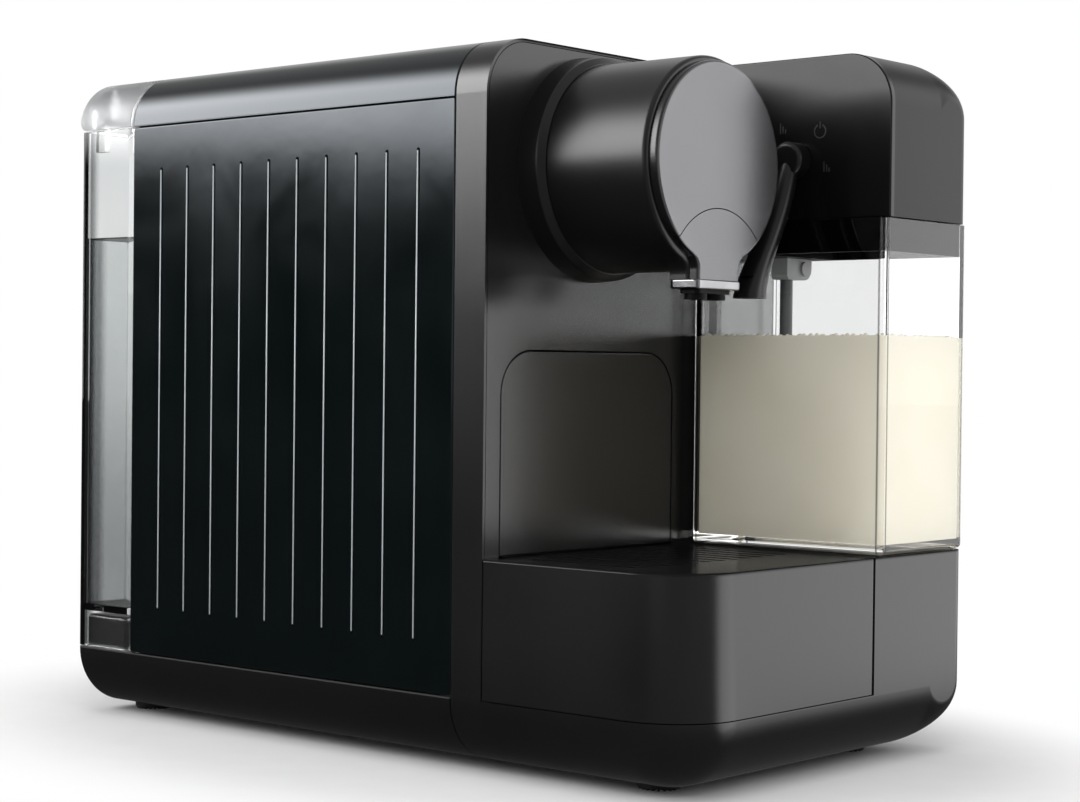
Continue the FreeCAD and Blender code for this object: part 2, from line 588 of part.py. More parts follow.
touch = new_body("touch_panel")
pad(touch, "x", "head_left", "head_left + 2.5", [
    ("-depth / 2", "head_low"), ("frame_front", "head_low"), ("frame_front", "height"),
    ("-depth / 2", "height", "head_radius")])
soften(touch, "0.6", lambda edge: near(edge.BoundBox.XMax, value("head_left"))
       and not near(edge.BoundBox.YMin, value("frame_front")))
pocket(touch, "x", "head_left", "head_left + 2.5", ("arm_y", "arm_z", "arm_radius + 0.4"))
node(touch, "touch_panel")

floor = new_body("head_floor")
pad(floor, "z", "head_low", "head_low + 2.5", [
    ("head_left + 2.5", "-depth / 2 + 2.5"), ("width / 2 - 2.5", "-depth / 2 + 2.5", "corner_radius - 2.5"),
    ("width / 2 - 2.5", "frame_front"), ("head_left + 2.5", "frame_front")])
node(floor, "head_floor")

board = new_body("touch_board")
pad(board, "x", "head_left + 2.5", "head_left + 4.1", rectangle(
    "-depth / 2 + 16", "frame_front - 14", "head_low + 5", "height - 16", "2"))
pocket(board, "x", "head_left + 2.5", "head_left + 4.1", ("arm_y", "arm_z", "7.5"))
node(board, "touch_board")

frother = new_body("frother")
pad(frother, "x", "48", "86", rectangle("-140", "-90", "head_low + 2.5", "head_low + 38", "3"))
pocket(frother, "x", "48", "60", ("arm_y", "arm_z", "arm_radius + 0.05"))
node(frother, "frother")

# Milk arm: a turned pivot with a lofted spout that hangs beside the brew head.
arm = new_body("milk_arm")
pad(arm, "x", "head_left - 8", "head_left - 0.5", ("arm_y", "arm_z", "7"))
soften(arm, "2", lambda edge: near(edge.BoundBox.XMax, value("head_left - 8")))
pad(arm, "x", "head_left - 1", "58", ("arm_y", "arm_z", "arm_radius"))
STATIONS = [("arm_z - 1", "head_left - 4.2", "3.6"), ("arm_z - 12", "head_left - 8.4", "4.3"),
            ("arm_z - 27", "head_left - 16", "4.8"), ("arm_z - 43", "head_left - 26", "5.5"),
            ("arm_z - 54.5", "head_left - 30.5", "6.4")]
sections = [sketch_on(arm, "z", level, [(across, "arm_y", radius)]) for level, across, radius in STATIONS]
loft = arm.newObject("PartDesign::AdditiveLoft", "milk_arm_spout")
loft.Profile = sections[0]
loft.Sections = sections[1:]
doc.recompute()
pocket(arm, "z", "arm_z - 54.5", "arm_z - 46", ("head_left - 30", "arm_y", "4"))
node(arm, "milk_arm")

# Milk hose, steam pipe and the socket that takes the spigot of the jar lid.
socket = turn("milk_socket", "y", [("0", "4.4"), ("0", "7.5"), ("18", "7.5"), ("18", "hose_radius"),
                                   ("12", "hose_radius"), ("12", "4.4")])
node(place(socket, "milk_x", "frame_front + 3", "milk_z"), "milk_socket")
milk_hose = hose("milk_hose", "x", "milk_x", [
    ("frame_front + 15", "milk_z"), ("frame_front + 36", "milk_z", "10"), ("frame_front + 36", "arm_z", "10"),
    ("-90", "arm_z")], "hose_radius - 0.05", "y", "frame_front + 15", ("milk_x", "milk_z"))
node(milk_hose, "milk_hose")
steam = hose("steam_pipe", "z", "arm_z + 4", [("-5", "95"), ("milk_x + 12", "95", "12"), ("milk_x + 12", "-90")],
             "hose_radius - 0.5", "x", "-5", ("95", "arm_z + 4"))
node(steam, "steam_pipe")

# Milk jar: clear walls, lid with spigot and filling mouth, suction pipe and the clip that steadies it.
JAR_MIDDLE = "(jar_left + jar_right) / 2"
jar = new_body("milk_jar")
pad(jar, "z", "jar_low", "jar_high", rectangle("jar_left", "jar_right", "jar_front", "jar_back", "jar_corner"))
soften(jar, "2", lambda edge: near(edge.BoundBox.ZMax, value("jar_low")))
pocket(jar, "z", "jar_low + jar_floor", "jar_high", rectangle(
    "jar_left + jar_wall", "jar_right - jar_wall", "jar_front + jar_wall", "jar_back - jar_wall",
    "jar_corner - 1.4"))
pocket(jar, "y", "jar_back - jar_wall - 1", "jar_back", rectangle(
    "milk_x - 5", "milk_x + 5", "milk_z - 5", "jar_high + 1"))
node(jar, "milk_jar")

lid = new_body("jar_lid")
pad(lid, "z", "lid_low", "jar_high", rectangle(
    "jar_left + jar_wall", "jar_right - jar_wall", "jar_front + jar_wall", "jar_back - jar_wall",
    "jar_corner - 1.4"))
pocket(lid, "z", "lid_low", "jar_high - 3", rectangle(
    "jar_left + jar_wall + 2", "jar_right - jar_wall - 2", "jar_front + jar_wall + 2", "lid_room_back", "2"))
pocket(lid, "z", "jar_high - 3", "jar_high", rectangle(
    f"{JAR_MIDDLE} - mouth_half", f"{JAR_MIDDLE} + mouth_half", "mouth_front", "mouth_back", "7"))
pad(lid, "y", "jar_back - jar_wall - 1", "frame_front + 12", ("milk_x", "milk_z", "4"))
pocket(lid, "y", "pipe_y", "frame_front + 12", ("milk_x", "milk_z", "2"))
pocket(lid, "z", "lid_low", "milk_z", ("milk_x", "pipe_y", "2.6"))
node(lid, "jar_lid")
suction = new_body("suction_pipe")
pad(suction, "z", "jar_low + jar_floor + 3", "milk_z - 2.6", ("milk_x", "pipe_y", "2.6"))
pocket(suction, "z", "jar_low + jar_floor + 3", "milk_z - 2.6", ("milk_x", "pipe_y", "1.7"))
node(suction, "suction_pipe")
clip = new_body("pipe_clip")
pad(clip, "y", "pipe_y - 3.5", "pipe_y + 4.5", [
    ("milk_x - 4.5", "lid_low - 8.5", "2"), ("milk_x + 13", "lid_low - 8.5", "5"), ("milk_x + 13", "lid_low"),
    ("milk_x - 4.5", "lid_low")])
pad(clip, "y", "pipe_y - 4.7", "pipe_y - 3", ("milk_x + 7.5", "lid_low - 4", "3"))
pocket(clip, "z", "lid_low - 8.5", "lid_low", ("milk_x", "pipe_y", "2.6"))
node(clip, "pipe_clip")

# Drawer: drip tray with the carrier of the capsule bin, grille, bin and its arched front.
tray = new_body("drip_tray")
pad(tray, "z", "tray_low", "tray_high", [
    ("-width / 2", "-depth / 2", "tray_radius"), ("tray_right", "-depth / 2", "1.5"),
    ("tray_right", "frame_front - 0.6"), ("-width / 2", "frame_front - 0.6")])
soften(tray, "0.8", lambda edge: near(edge.BoundBox.ZMin, value("tray_high"))
       and not near(edge.BoundBox.YMin, value("frame_front - 0.6")))
pad(tray, "z", "tray_low", "tray_low + 8", rectangle(
    "bay_left + 2", "bay_right - 2", "frame_front - 2", "bin_back + 3.5"))


def tray_outline(inset):
    """The outline of the drip tray from above, moved inwards."""
    left, front = f"-width / 2 + {inset}", f"-depth / 2 + {inset}"
    right, rear = f"tray_right - {inset}", f"frame_front - 0.6 - {inset}"
    return [(left, front, f"tray_radius - {inset}"), (right, front, "1"), (right, rear, "1"), (left, rear, "1")]


pocket(tray, "z", "tray_low + 3", "tray_high", tray_outline("tray_wall + 1.5"))
pocket(tray, "z", "tray_high - 3.4", "tray_high", tray_outline("1.6"))
pocket(tray, "z", "tray_low + 3", "tray_low + 8", rectangle(
    "bay_left + 5", "bay_right - 5", "frame_front + 3", "bin_back"))
node(tray, "drip_tray")

grille = new_body("drip_grille")
pad(grille, "z", "tray_high - 3", "tray_high", tray_outline("1.9"))
slots = pocket(grille, "z", "tray_high - 3", "tray_high", rectangle(
    "slot_first - slot_width / 2", "slot_first + slot_width / 2", "-134", "-82", "slot_width * 0.49"))
row(grille, slots, "slot_count", "slot_pitch * (slot_count - 1)")
node(grille, "drip_grille")

bin_box = new_body("capsule_bin")
pad(bin_box, "z", "tray_low + 3", "bay_high - 10", rectangle(
    "bay_left + 5", "bay_right - 5", "frame_front + 3", "bin_back", "3"))
pocket(bin_box, "z", "tray_low + 5", "bay_high - 10", rectangle(
    "bay_left + 7", "bay_right - 7", "frame_front + 5", "bin_back - 2", "2"))
node(bin_box, "capsule_bin")
arch = new_body("bin_front")
pad(arch, "y", "frame_front", "frame_front + 3", [
    ("bay_left + 0.5", "tray_high + 0.6"), ("bay_right - 0.5", "tray_high + 0.6"),
    ("bay_right - 0.5", "bay_high - 0.5", "bay_radius - 0.5"),
    ("bay_left + 0.5", "bay_high - 0.5", "bay_radius - 0.5")])
soften(arch, "0.5", lambda edge: near(edge.BoundBox.YMax, value("frame_front")))
node(arch, "bin_front")

# Bay liner: guides the drawer and closes the inside of the bay.
liner = new_body("bay_liner")
pad(liner, "z", "tray_low - 3.4", "bay_high + 12", rectangle(
    "bay_left - 3", "bay_right + 3", "frame_front + 3", "bin_back + 9"))
pocket(liner, "z", "tray_low - 0.4", "bay_high + 12", rectangle(
    "bay_left - 1", "bay_right + 1", "frame_front + 3", "bin_back + 7"))
node(liner, "bay_liner")

# Heater on its deck, pump on rubber mounts, flow meter, hoses and main board.
deck = block("inner_deck", "-86", "26", "bin_back + 11", "cover_back - 3", "190", "193")
node(deck, "inner_deck")
heater = new_body("thermoblock")
pad(heater, "z", "193", "243", rectangle("-75", "-5", "68", "122", "6"))
soften(heater, "3", lambda edge: near(edge.BoundBox.ZMin, 243))
pad(heater, "z", "242", "246", ("-57", "95", "9"), ("-23", "95", "9"))
pad(heater, "z", "246", "250", ("-57", "95", "6.5"), ("-23", "95", "6.5"))
node(heater, "thermoblock")
mounts = doc.addObject("Part::Compound", "pump_mounts")
mounts.Links = [block(f"mount_{i}", left, f"{left} + 8", "pump_y - 16", "pump_y + 16", "foot_height + wall", "20")
                for i, left in enumerate(("2", "38"))]
node(mounts, "pump_mounts")
pump = new_body("pump")
pad(pump, "x", "0", "48", rectangle("pump_y - 20", "pump_y + 20", "20", "60", "4"))
pad(pump, "x", "47", "72", ("pump_y", "pump_z", "8"))
pad(pump, "x", "-12", "1", ("pump_y", "pump_z", "5"))
node(pump, "pump")
meter = turn("flow_meter", "z", [("0", "0"), ("0", "15"), ("40", "15"), ("40", "0")])
pad(meter, "y", "14", "17", ("0", "10", "5"))
pad(meter, "y", "-17", "-14", ("0", "pump_z - 6", "5"))
node(place(meter, "valve_x", "100", "foot_height + wall"), "flow_meter")
inlet = rod("inlet_hose", "hose_radius - 0.05", "valve_y - 4 - 117", "valve_x", "117", "16", "y")
node(inlet, "inlet_hose")
pump_hose = hose("pump_hose", "z", "pump_z", [("valve_x", "83"), ("valve_x", "pump_y", "6"), ("-12", "pump_y")],
                 "hose_radius", "y", "83", ("valve_x", "pump_z"))
node(pump_hose, "pump_hose")
pressure = hose("pressure_hose", "y", "pump_y", [("72", "pump_z"), ("81", "pump_z", "6"), ("81", "215", "10"),
                                                 ("-5", "215")],
                "hose_radius - 0.5", "x", "72", ("pump_y", "pump_z"))
node(pressure, "pressure_hose")
main = new_body("main_board")
pad(main, "x", "86.4", "88", rectangle("-40", "60", "100", "220", "2"))
pad(main, "x", "76", "87", rectangle("-30", "-8", "110", "140"), rectangle("0", "18", "110", "130"))
pad(main, "x", "80", "87", rectangle("-30", "10", "160", "180"))
node(main, "main_board")

# Water tank: a stand on the base, clear walls, lid on a hinge pin, valve and the seat that opens it.
stand = new_body("tank_stand")
pad(stand, "z", "panel_low", "tank_floor - 1.6", rectangle(
    "-width / 2 + tank_wall + 1.4", "width / 2 - tank_wall - 1.4", "tank_front + tank_wall + 1.4",
    "depth / 2 - tank_wall - 1.4", "2"))
soften(stand, "1.5", lambda edge: near(edge.BoundBox.ZMin, value("tank_floor - 1.6")))
pocket(stand, "z", "panel_low", "tank_floor - 1.6", ("valve_x", "valve_y", "10.4"))
pocket(stand, "z", "panel_low", "tank_floor - 4", rectangle(
    "valve_x + 16", "width / 2 - tank_wall - 4", "tank_front + tank_wall + 4", "depth / 2 - tank_wall - 4", "1"))
node(stand, "tank_stand")
tank = new_body("water_tank")


def tank_outline(inset):
    """The outline of the tank from above, moved inwards."""
    left, right = f"-width / 2 + {inset}", f"width / 2 - {inset}"
    front, rear = f"tank_front + {inset}", f"depth / 2 - {inset}"
    return [(left, front, "1.5"), (right, front, "1.5"), (right, rear, "tank_corner"), (left, rear, "tank_corner")]


pad(tank, "z", "panel_low + 0.6", "panel_high", tank_outline("0"))
pocket(tank, "z", "tank_floor + wall", "panel_high", tank_outline("tank_wall"))
pocket(tank, "z", "panel_low + 0.6", "tank_floor", tank_outline("tank_wall"))
pocket(tank, "z", "tank_floor", "tank_floor + wall", ("valve_x", "valve_y", "4.6"))
EARS = ("-width / 2 + 8", "width / 2 - 11")
for left in EARS:
    pad(tank, "x", left, f"{left} + 3", [
        ("depth / 2 - 8", "panel_high - 8"), ("depth / 2 - 1", "panel_high - 8"),
        ("depth / 2 - 1", "panel_high - 1"), ("depth / 2 - 2.7", "panel_high - 1"),
        ("depth / 2 - 2.7", "panel_high + 8.2", "2.5"), ("depth / 2 - 8", "panel_high + 8.2", "2.5")])
    pocket(tank, "x", left, f"{left} + 3", ("depth / 2 - hinge_inset", "panel_high + seam + hinge_inset", "1.5"))
node(tank, "water_tank")

tank_lid = new_body("tank_lid")
pad(tank_lid, "y", "tank_front + 0.4", "depth / 2", roof_outline("panel_high + seam", "0"))
soften(tank_lid, "hinge_inset", lambda edge: runs_along(edge, "x")
       and near(edge.BoundBox.YMin, value("depth / 2")) and near(edge.BoundBox.ZMin, value("panel_high + seam")))
pocket(tank_lid, "y", "tank_front + 0.4 + tank_wall", "depth / 2 - tank_wall",
       roof_outline("panel_high - 1", "tank_wall"))
pocket(tank_lid, "y", "depth / 2 - tank_wall", "depth / 2", *[
    rectangle(f"{left} - 0.6", f"{left} + 3.6", "panel_high", "panel_high + 10") for left in EARS])
LUGS = ("-width / 2 + 12", "width / 2 - 15")
for left in LUGS:
    pad(tank_lid, "x", left, f"{left} + 3", [
        ("depth / 2 - 8", "panel_high + seam + 1.2"), ("depth / 2 - 2", "panel_high + seam + 1.2"),
        ("depth / 2 - 2", "height - 2"), ("depth / 2 - 8", "height - 2")])
    pocket(tank_lid, "x", left, f"{left} + 3",
           ("depth / 2 - hinge_inset", "panel_high + seam + hinge_inset", "1.55"))
node(tank_lid, "tank_lid")
hinge = doc.addObject("Part::Compound", "lid_pins")
hinge.Links = [rod(f"lid_pin_{i}", "1.5", "7", left, "depth / 2 - hinge_inset",
                   "panel_high + seam + hinge_inset", "x")
               for i, left in enumerate(("-width / 2 + 8", "width / 2 - 15"))]
node(hinge, "lid_pins")

valve = turn("tank_valve", "z", [("-2.4", "0"), ("-2.4", "3"), ("6", "3"), ("6", "9"), ("9", "9", "1"), ("9", "0")])
node(place(valve, "valve_x", "valve_y", "tank_floor"), "tank_valve")
seat = turn("tank_seat", "z", [("-8", "0"), ("-8", "4.5"), ("0", "4.5"), ("0", "10"), ("11", "10"), ("11", "8"),
                               ("2", "8"), ("2", "1.6"), ("13", "1.6"), ("13", "0")])
node(place(seat, "valve_x", "valve_y", "panel_low"), "tank_seat")

doc.recompute()
os.makedirs("parts", exist_ok=True)
faults = []
for item in doc.Objects:
    if "Invalid" in item.State or "Error" in item.State:
        faults.append(f"{item.Label}: {item.State}")
for item in nodes:
    if item.Shape.isNull() or not item.Shape.isValid() or not item.Shape.Solids:
        faults.append(f"{item.Label}: no valid solid")
if faults:
    raise RuntimeError("; ".join(faults))
for item in nodes:
    item.Shape.exportStep(f"parts/{item.Label}.step")
print(len(nodes), "sub-parts")
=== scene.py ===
import json
import math

import bmesh
import bpy
from mathutils import Matrix, Vector

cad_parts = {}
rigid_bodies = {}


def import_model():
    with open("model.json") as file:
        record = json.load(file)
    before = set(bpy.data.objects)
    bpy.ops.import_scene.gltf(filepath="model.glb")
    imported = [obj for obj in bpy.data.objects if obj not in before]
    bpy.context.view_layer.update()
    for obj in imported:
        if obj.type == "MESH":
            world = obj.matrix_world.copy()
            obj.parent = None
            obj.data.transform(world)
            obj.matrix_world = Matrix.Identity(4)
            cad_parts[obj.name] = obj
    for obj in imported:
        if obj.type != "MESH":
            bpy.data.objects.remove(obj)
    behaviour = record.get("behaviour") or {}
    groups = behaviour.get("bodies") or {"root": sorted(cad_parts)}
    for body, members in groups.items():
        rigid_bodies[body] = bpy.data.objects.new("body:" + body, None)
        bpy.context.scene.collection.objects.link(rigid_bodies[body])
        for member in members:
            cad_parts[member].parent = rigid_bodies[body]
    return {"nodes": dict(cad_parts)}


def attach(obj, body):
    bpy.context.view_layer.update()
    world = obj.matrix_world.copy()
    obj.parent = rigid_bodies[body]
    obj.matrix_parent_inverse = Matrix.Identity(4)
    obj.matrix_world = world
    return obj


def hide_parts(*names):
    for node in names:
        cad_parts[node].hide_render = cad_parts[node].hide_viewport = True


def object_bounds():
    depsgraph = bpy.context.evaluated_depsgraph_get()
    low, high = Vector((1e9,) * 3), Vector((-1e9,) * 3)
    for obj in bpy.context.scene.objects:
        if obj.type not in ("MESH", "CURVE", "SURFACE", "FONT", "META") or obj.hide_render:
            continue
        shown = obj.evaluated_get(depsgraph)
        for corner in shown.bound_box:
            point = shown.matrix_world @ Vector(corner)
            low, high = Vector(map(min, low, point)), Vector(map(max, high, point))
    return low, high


for leftover in list(bpy.data.objects):
    bpy.data.objects.remove(leftover)
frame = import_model()
nodes = frame["nodes"]
cad_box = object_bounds()


# The studio: a pale floor that runs out to white, soft lamps and an even room light. What shines shows
# large soft boxes instead: a bright one behind and over the left side, a weaker one at the front right,
# faint ones all round and a card on the floor. The camera stands low, close to the front left.
def put(tree, kind, inputs=None, **settings):
    """Adds one node. A value in inputs is either a plain value or another node's output to link."""
    added = tree.nodes.new(kind)
    for key, value in settings.items():
        setattr(added, key, value)
    for key, value in (inputs or {}).items():
        if isinstance(value, bpy.types.NodeSocket):
            tree.links.new(value, added.inputs[key])
        else:
            added.inputs[key].default_value = value
    return added


def reckon(tree, operation, first, second=0.0, third=0.0):
    """The result of one sum on two or three amounts."""
    inputs = {0: first, 1: second, 2: third}
    return put(tree, "ShaderNodeMath", inputs, operation=operation).outputs[0]


def rise(tree, amount, low, high, level=1.0):
    """A smooth rise from nothing at low to level at high; low may be the larger of the two."""
    inputs = {"Value": amount, "From Min": low, "From Max": high, "To Min": 0.0, "To Max": level}
    return put(tree, "ShaderNodeMapRange", inputs, interpolation_type="SMOOTHSTEP").outputs[0]


def soft_box(tree, level, *limits):
    """The brightness of a soft box that fades out at limits, each an amount with two values."""
    share = level
    for amount, low, high in limits:
        share = reckon(tree, "MULTIPLY", share, rise(tree, amount, low, high))
    return share


def looked_through(tree, path):
    """How far a ray looks straight through clear plastic, which is little once it has been mirrored."""
    straight = reckon(tree, "LESS_THAN", path["Glossy Depth"], 0.5)
    once_mirrored = 0.12
    clearness = reckon(tree, "MULTIPLY_ADD", straight, 1.0 - once_mirrored, once_mirrored)
    return reckon(tree, "MULTIPLY", path["Is Transmission Ray"], clearness)


def colour(red, green, blue):
    """A colour written in the usual 0 to 255 screen values, as linear light."""
    linear = []
    for level in (red, green, blue):
        part = level / 255
        linear.append(part / 12.92 if part <= 0.04045 else ((part + 0.055) / 1.055) ** 2.4)
    return (*linear, 1.0)


scene = bpy.context.scene
scene.view_settings.view_transform = "Standard"

camera_data = bpy.data.cameras.new("camera")
camera_data.sensor_fit = "HORIZONTAL"
camera_data.sensor_width = 36.0
camera_data.lens = 75.13
camera = bpy.data.objects.new("camera", camera_data)
scene.collection.objects.link(camera)
heading, tilt, roll = math.radians(49.32), math.radians(-0.77), math.radians(0.61)
look = Vector(
    (math.sin(heading) * math.cos(tilt), math.cos(heading) * math.cos(tilt), math.sin(tilt))
)
level_right = Vector((math.cos(heading), -math.sin(heading), 0.0))
level_up = level_right.cross(look)
view_right = level_right * math.cos(roll) + level_up * math.sin(roll)
view_up = level_up * math.cos(roll) - level_right * math.sin(roll)
turn = Matrix((view_right, view_up, -look)).transposed().to_4x4()
camera_place = (-0.699, -0.6206, 0.1492)
camera.matrix_world = Matrix.Translation(camera_place) @ turn
scene.camera = camera


def soft_lamp(name, place, width, watts):
    """A square soft lamp that shines at the middle of the machine and isn't seen itself."""
    lamp_data = bpy.data.lights.new(name, "AREA")
    lamp_data.size = width
    lamp_data.energy = watts
    lamp = bpy.data.objects.new(name, lamp_data)
    scene.collection.objects.link(lamp)
    lamp.location = place
    aim = Vector((0.0, 0.0, 0.15)) - Vector(place)
    lamp.rotation_euler = aim.to_track_quat("-Z", "Y").to_euler()
    lamp.visible_camera = False
    lamp.visible_glossy = False


soft_lamp("lamp_back_left", (-1.25, 1.05, 1.2), 1.3, 17)
soft_lamp("lamp_front_right", (1.15, -1.2, 0.9), 1.2, 4)
soft_lamp("lamp_front_left", (-1.2, -1.15, 0.8), 1.2, 7)
soft_lamp("lamp_above", (-0.2, -0.5, 2.0), 1.4, 9)

world = bpy.data.worlds.new("studio")
scene.world = world
world.use_nodes = True
tree = world.node_tree
tree.nodes.clear()
path = put(tree, "ShaderNodeLightPath").outputs
direction = put(tree, "ShaderNodeTexCoord").outputs["Generated"]
to_right, to_back, upward = put(tree, "ShaderNodeSeparateXYZ", {0: direction}).outputs
boxes = (
    soft_box(
        tree, 9.0, (upward, 0.085, 0.118), (upward, 0.74, 0.44), (to_right, -0.05, -0.45),
        (to_back, 0.25, 0.5),
    ),
    soft_box(tree, 2.2, (to_right, 0.02, 0.25), (to_back, -0.15, -0.4), (upward, 0.8, 0.45)),
    soft_box(tree, 0.4, (to_right, 0.3, 0.6), (to_back, 0.0, 0.25), (upward, 0.06, 0.16)),
    soft_box(tree, 0.6, (to_back, -0.8, -0.97), (upward, 0.75, 0.4)),
    soft_box(tree, 0.9, (to_right, 0.85, 0.98), (upward, 0.75, 0.4)),
    soft_box(tree, 0.9, (to_right, -0.85, -0.98), (upward, 0.75, 0.4)),
    soft_box(tree, 0.9, (to_back, 0.85, 0.98), (upward, 0.75, 0.4)),
    rise(tree, upward, 0.1, 0.8, 0.3),
)
dark_corner = soft_box(tree, 1.0, (to_right, -0.45, -0.65), (to_back, 0.35, 0.55))
all_round = 0.2
in_dark_corner = 0.03
in_gloss = reckon(tree, "MULTIPLY_ADD", dark_corner, in_dark_corner - all_round, all_round)
for box in boxes:
    in_gloss = reckon(tree, "ADD", box, in_gloss)
through = looked_through(tree, path)
seen = reckon(tree, "MAXIMUM", path["Is Camera Ray"], through)
not_gloss = reckon(tree, "SUBTRACT", 1.0, path["Is Glossy Ray"])
plain_level = 0.55
plain = reckon(tree, "MULTIPLY", not_gloss, plain_level)
room = reckon(tree, "MULTIPLY_ADD", in_gloss, path["Is Glossy Ray"], plain)
strength = reckon(tree, "MULTIPLY_ADD", room, reckon(tree, "SUBTRACT", 1.0, seen), seen)
background = put(tree, "ShaderNodeBackground", {"Color": (1, 1, 1, 1), "Strength": strength})
put(tree, "ShaderNodeOutputWorld", {0: background.outputs[0]})

floor_mesh = bpy.data.meshes.new("floor")
reach = 9.0
floor_mesh.from_pydata(
    [(-reach, -reach, 0), (reach, -reach, 0), (reach, reach, 0), (-reach, reach, 0)],
    [], [(0, 1, 2, 3)],
)
floor = bpy.data.objects.new("floor", floor_mesh)
scene.collection.objects.link(floor)
floor_material = bpy.data.materials.new("studio_floor")
floor_material.use_nodes = True
tree = floor_material.node_tree
tree.nodes.clear()
path = put(tree, "ShaderNodeLightPath").outputs
place = put(tree, "ShaderNodeTexCoord").outputs["Object"]
rounder = put(tree, "ShaderNodeMapping", {"Vector": place, "Scale": (1.5, 1.0, 1.0)}).outputs[0]
distance = put(tree, "ShaderNodeVectorMath", {0: rounder}, operation="LENGTH").outputs["Value"]
speckle = put(tree, "ShaderNodeTexNoise", {"Vector": place, "Scale": 60.0, "Detail": 3.0})
paper = put(
    tree, "ShaderNodeMix",
    {"Factor": speckle.outputs[0], 6: colour(236, 236, 236), 7: colour(242, 242, 242)},
    data_type="RGBA",
).outputs[2]
to_right, to_back, _ = put(tree, "ShaderNodeSeparateXYZ", {0: place}).outputs
tray_corner = (-0.063, -0.13)
beside_corner = reckon(tree, "SUBTRACT", to_right, tray_corner[0])
before_corner = reckon(tree, "SUBTRACT", tray_corner[1], to_back)
fan = reckon(tree, "DIVIDE", beside_corner, before_corner)
card = soft_box(tree, 1.6, (fan, 0.1, 0.4), (to_back, -0.18, -0.28))
strip = soft_box(tree, 0.9, (fan, 0.1, 0.4), (fan, 1.2, 0.8), (to_back, -0.18, -0.28))
card = reckon(tree, "ADD", card, strip)
card = reckon(tree, "ADD", card, rise(tree, to_back, -0.05, -0.4, 0.2))
card = reckon(tree, "ADD", card, rise(tree, to_right, 0.1, 0.4, 0.2))
card = reckon(tree, "ADD", card, 0.05)
lit = put(tree, "ShaderNodeBsdfDiffuse", {"Color": paper})
white = put(tree, "ShaderNodeEmission", {"Color": (1, 1, 1, 1), "Strength": 1.0})
shine = put(tree, "ShaderNodeEmission", {"Color": (1, 1, 1, 1), "Strength": card})
through = looked_through(tree, path)
seen = reckon(tree, "MAXIMUM", path["Is Camera Ray"], through)
run_out = reckon(tree, "MULTIPLY", rise(tree, distance, 0.2, 0.32), seen)
shown = put(tree, "ShaderNodeMixShader", {0: run_out, 1: lit.outputs[0], 2: white.outputs[0]})
mirrored = reckon(tree, "SUBTRACT", path["Is Glossy Ray"], through)
whole = put(tree, "ShaderNodeMixShader", {0: mirrored, 1: shown.outputs[0], 2: shine.outputs[0]})
put(tree, "ShaderNodeOutputMaterial", {0: whole.outputs[0]})
floor_mesh.materials.append(floor_material)


# The base: a rear pan that carries the stand under the tank, and a front block with the pedestal for
# the milk jar, clipped together under the front frame. All are injection moulded in black ABS with a
# fine grain from the eroded mould. A thin pale line along the pan's edge at the seam above is a painted
# highlight.
grain_group = bpy.data.node_groups.new("moulded_grain", "ShaderNodeTree")
grain_group.interface.new_socket("Place", in_out="INPUT", socket_type="NodeSocketVector")
grain_group.interface.new_socket("Grains per metre", in_out="INPUT", socket_type="NodeSocketFloat")
grain_group.interface.new_socket("Height", in_out="OUTPUT", socket_type="NodeSocketFloat")
grain_group.interface.new_socket("Cloud", in_out="OUTPUT", socket_type="NodeSocketFloat")
given = put(grain_group, "NodeGroupInput").outputs
fine = put(
    grain_group, "ShaderNodeTexNoise",
    {"Vector": given["Place"], "Scale": given["Grains per metre"], "Detail": 2.0},
).outputs[0]
pits = put(
    grain_group, "ShaderNodeTexVoronoi",
    {"Vector": given["Place"], "Scale": given["Grains per metre"]}, feature="SMOOTH_F1",
).outputs["Distance"]
cloud = put(
    grain_group, "ShaderNodeTexNoise",
    {"Vector": given["Place"], "Scale": 14.0, "Detail": 4.0, "Roughness": 0.55},
).outputs[0]
put(
    grain_group, "NodeGroupOutput",
    {"Height": reckon(grain_group, "MULTIPLY_ADD", pits, 0.7, fine), "Cloud": cloud},
)


def start_material(name):
    """An empty material with one shader, its tree and that shader."""
    material = bpy.data.materials.new(name)
    material.use_nodes = True
    material.node_tree.nodes.clear()
    shader = put(material.node_tree, "ShaderNodeBsdfPrincipled")
    put(material.node_tree, "ShaderNodeOutputMaterial", {0: shader.outputs[0]})
    return material, material.node_tree, shader


def between(tree, amount, low, high):
    """Spreads a noise, which mostly lies between 0.3 and 0.7, over low to high."""
    return put(
        tree, "ShaderNodeMapRange",
        {"Value": amount, "From Min": 0.3, "From Max": 0.7, "To Min": low, "To Max": high},
    ).outputs[0]


def shades(tree, amount, dark, light):
    """A colour that drifts between two shades with a noise."""
    share = between(tree, amount, 0.0, 1.0)
    return put(
        tree, "ShaderNodeMix", {"Factor": share, 6: dark, 7: light}, data_type="RGBA"
    ).outputs[2]


def moulded_plastic(name, dark, light, smooth, rough, grains, depth, specular=0.5):
    """Plastic from a textured mould: grain as bump, and a slow drift in shade and gloss."""
    material, tree, shader = start_material(name)
    place = put(tree, "ShaderNodeTexCoord").outputs["Object"]
    grain = put(tree, "ShaderNodeGroup", node_tree=grain_group)
    tree.links.new(place, grain.inputs["Place"])
    grain.inputs["Grains per metre"].default_value = grains
    cloud = grain.outputs["Cloud"]
    bump = put(
        tree, "ShaderNodeBump",
        {"Strength": 1.0, "Distance": depth, "Height": grain.outputs["Height"]},
    )
    tree.links.new(shades(tree, cloud, dark, light), shader.inputs["Base Color"])
    tree.links.new(between(tree, cloud, smooth, rough), shader.inputs["Roughness"])
    tree.links.new(bump.outputs[0], shader.inputs["Normal"])
    shader.inputs["Specular IOR Level"].default_value = specular
    return material


def dress(material, *names):
    """Gives a material to the machine's own parts by name."""
    for name in names:
        nodes[name].material_slots[0].material = material


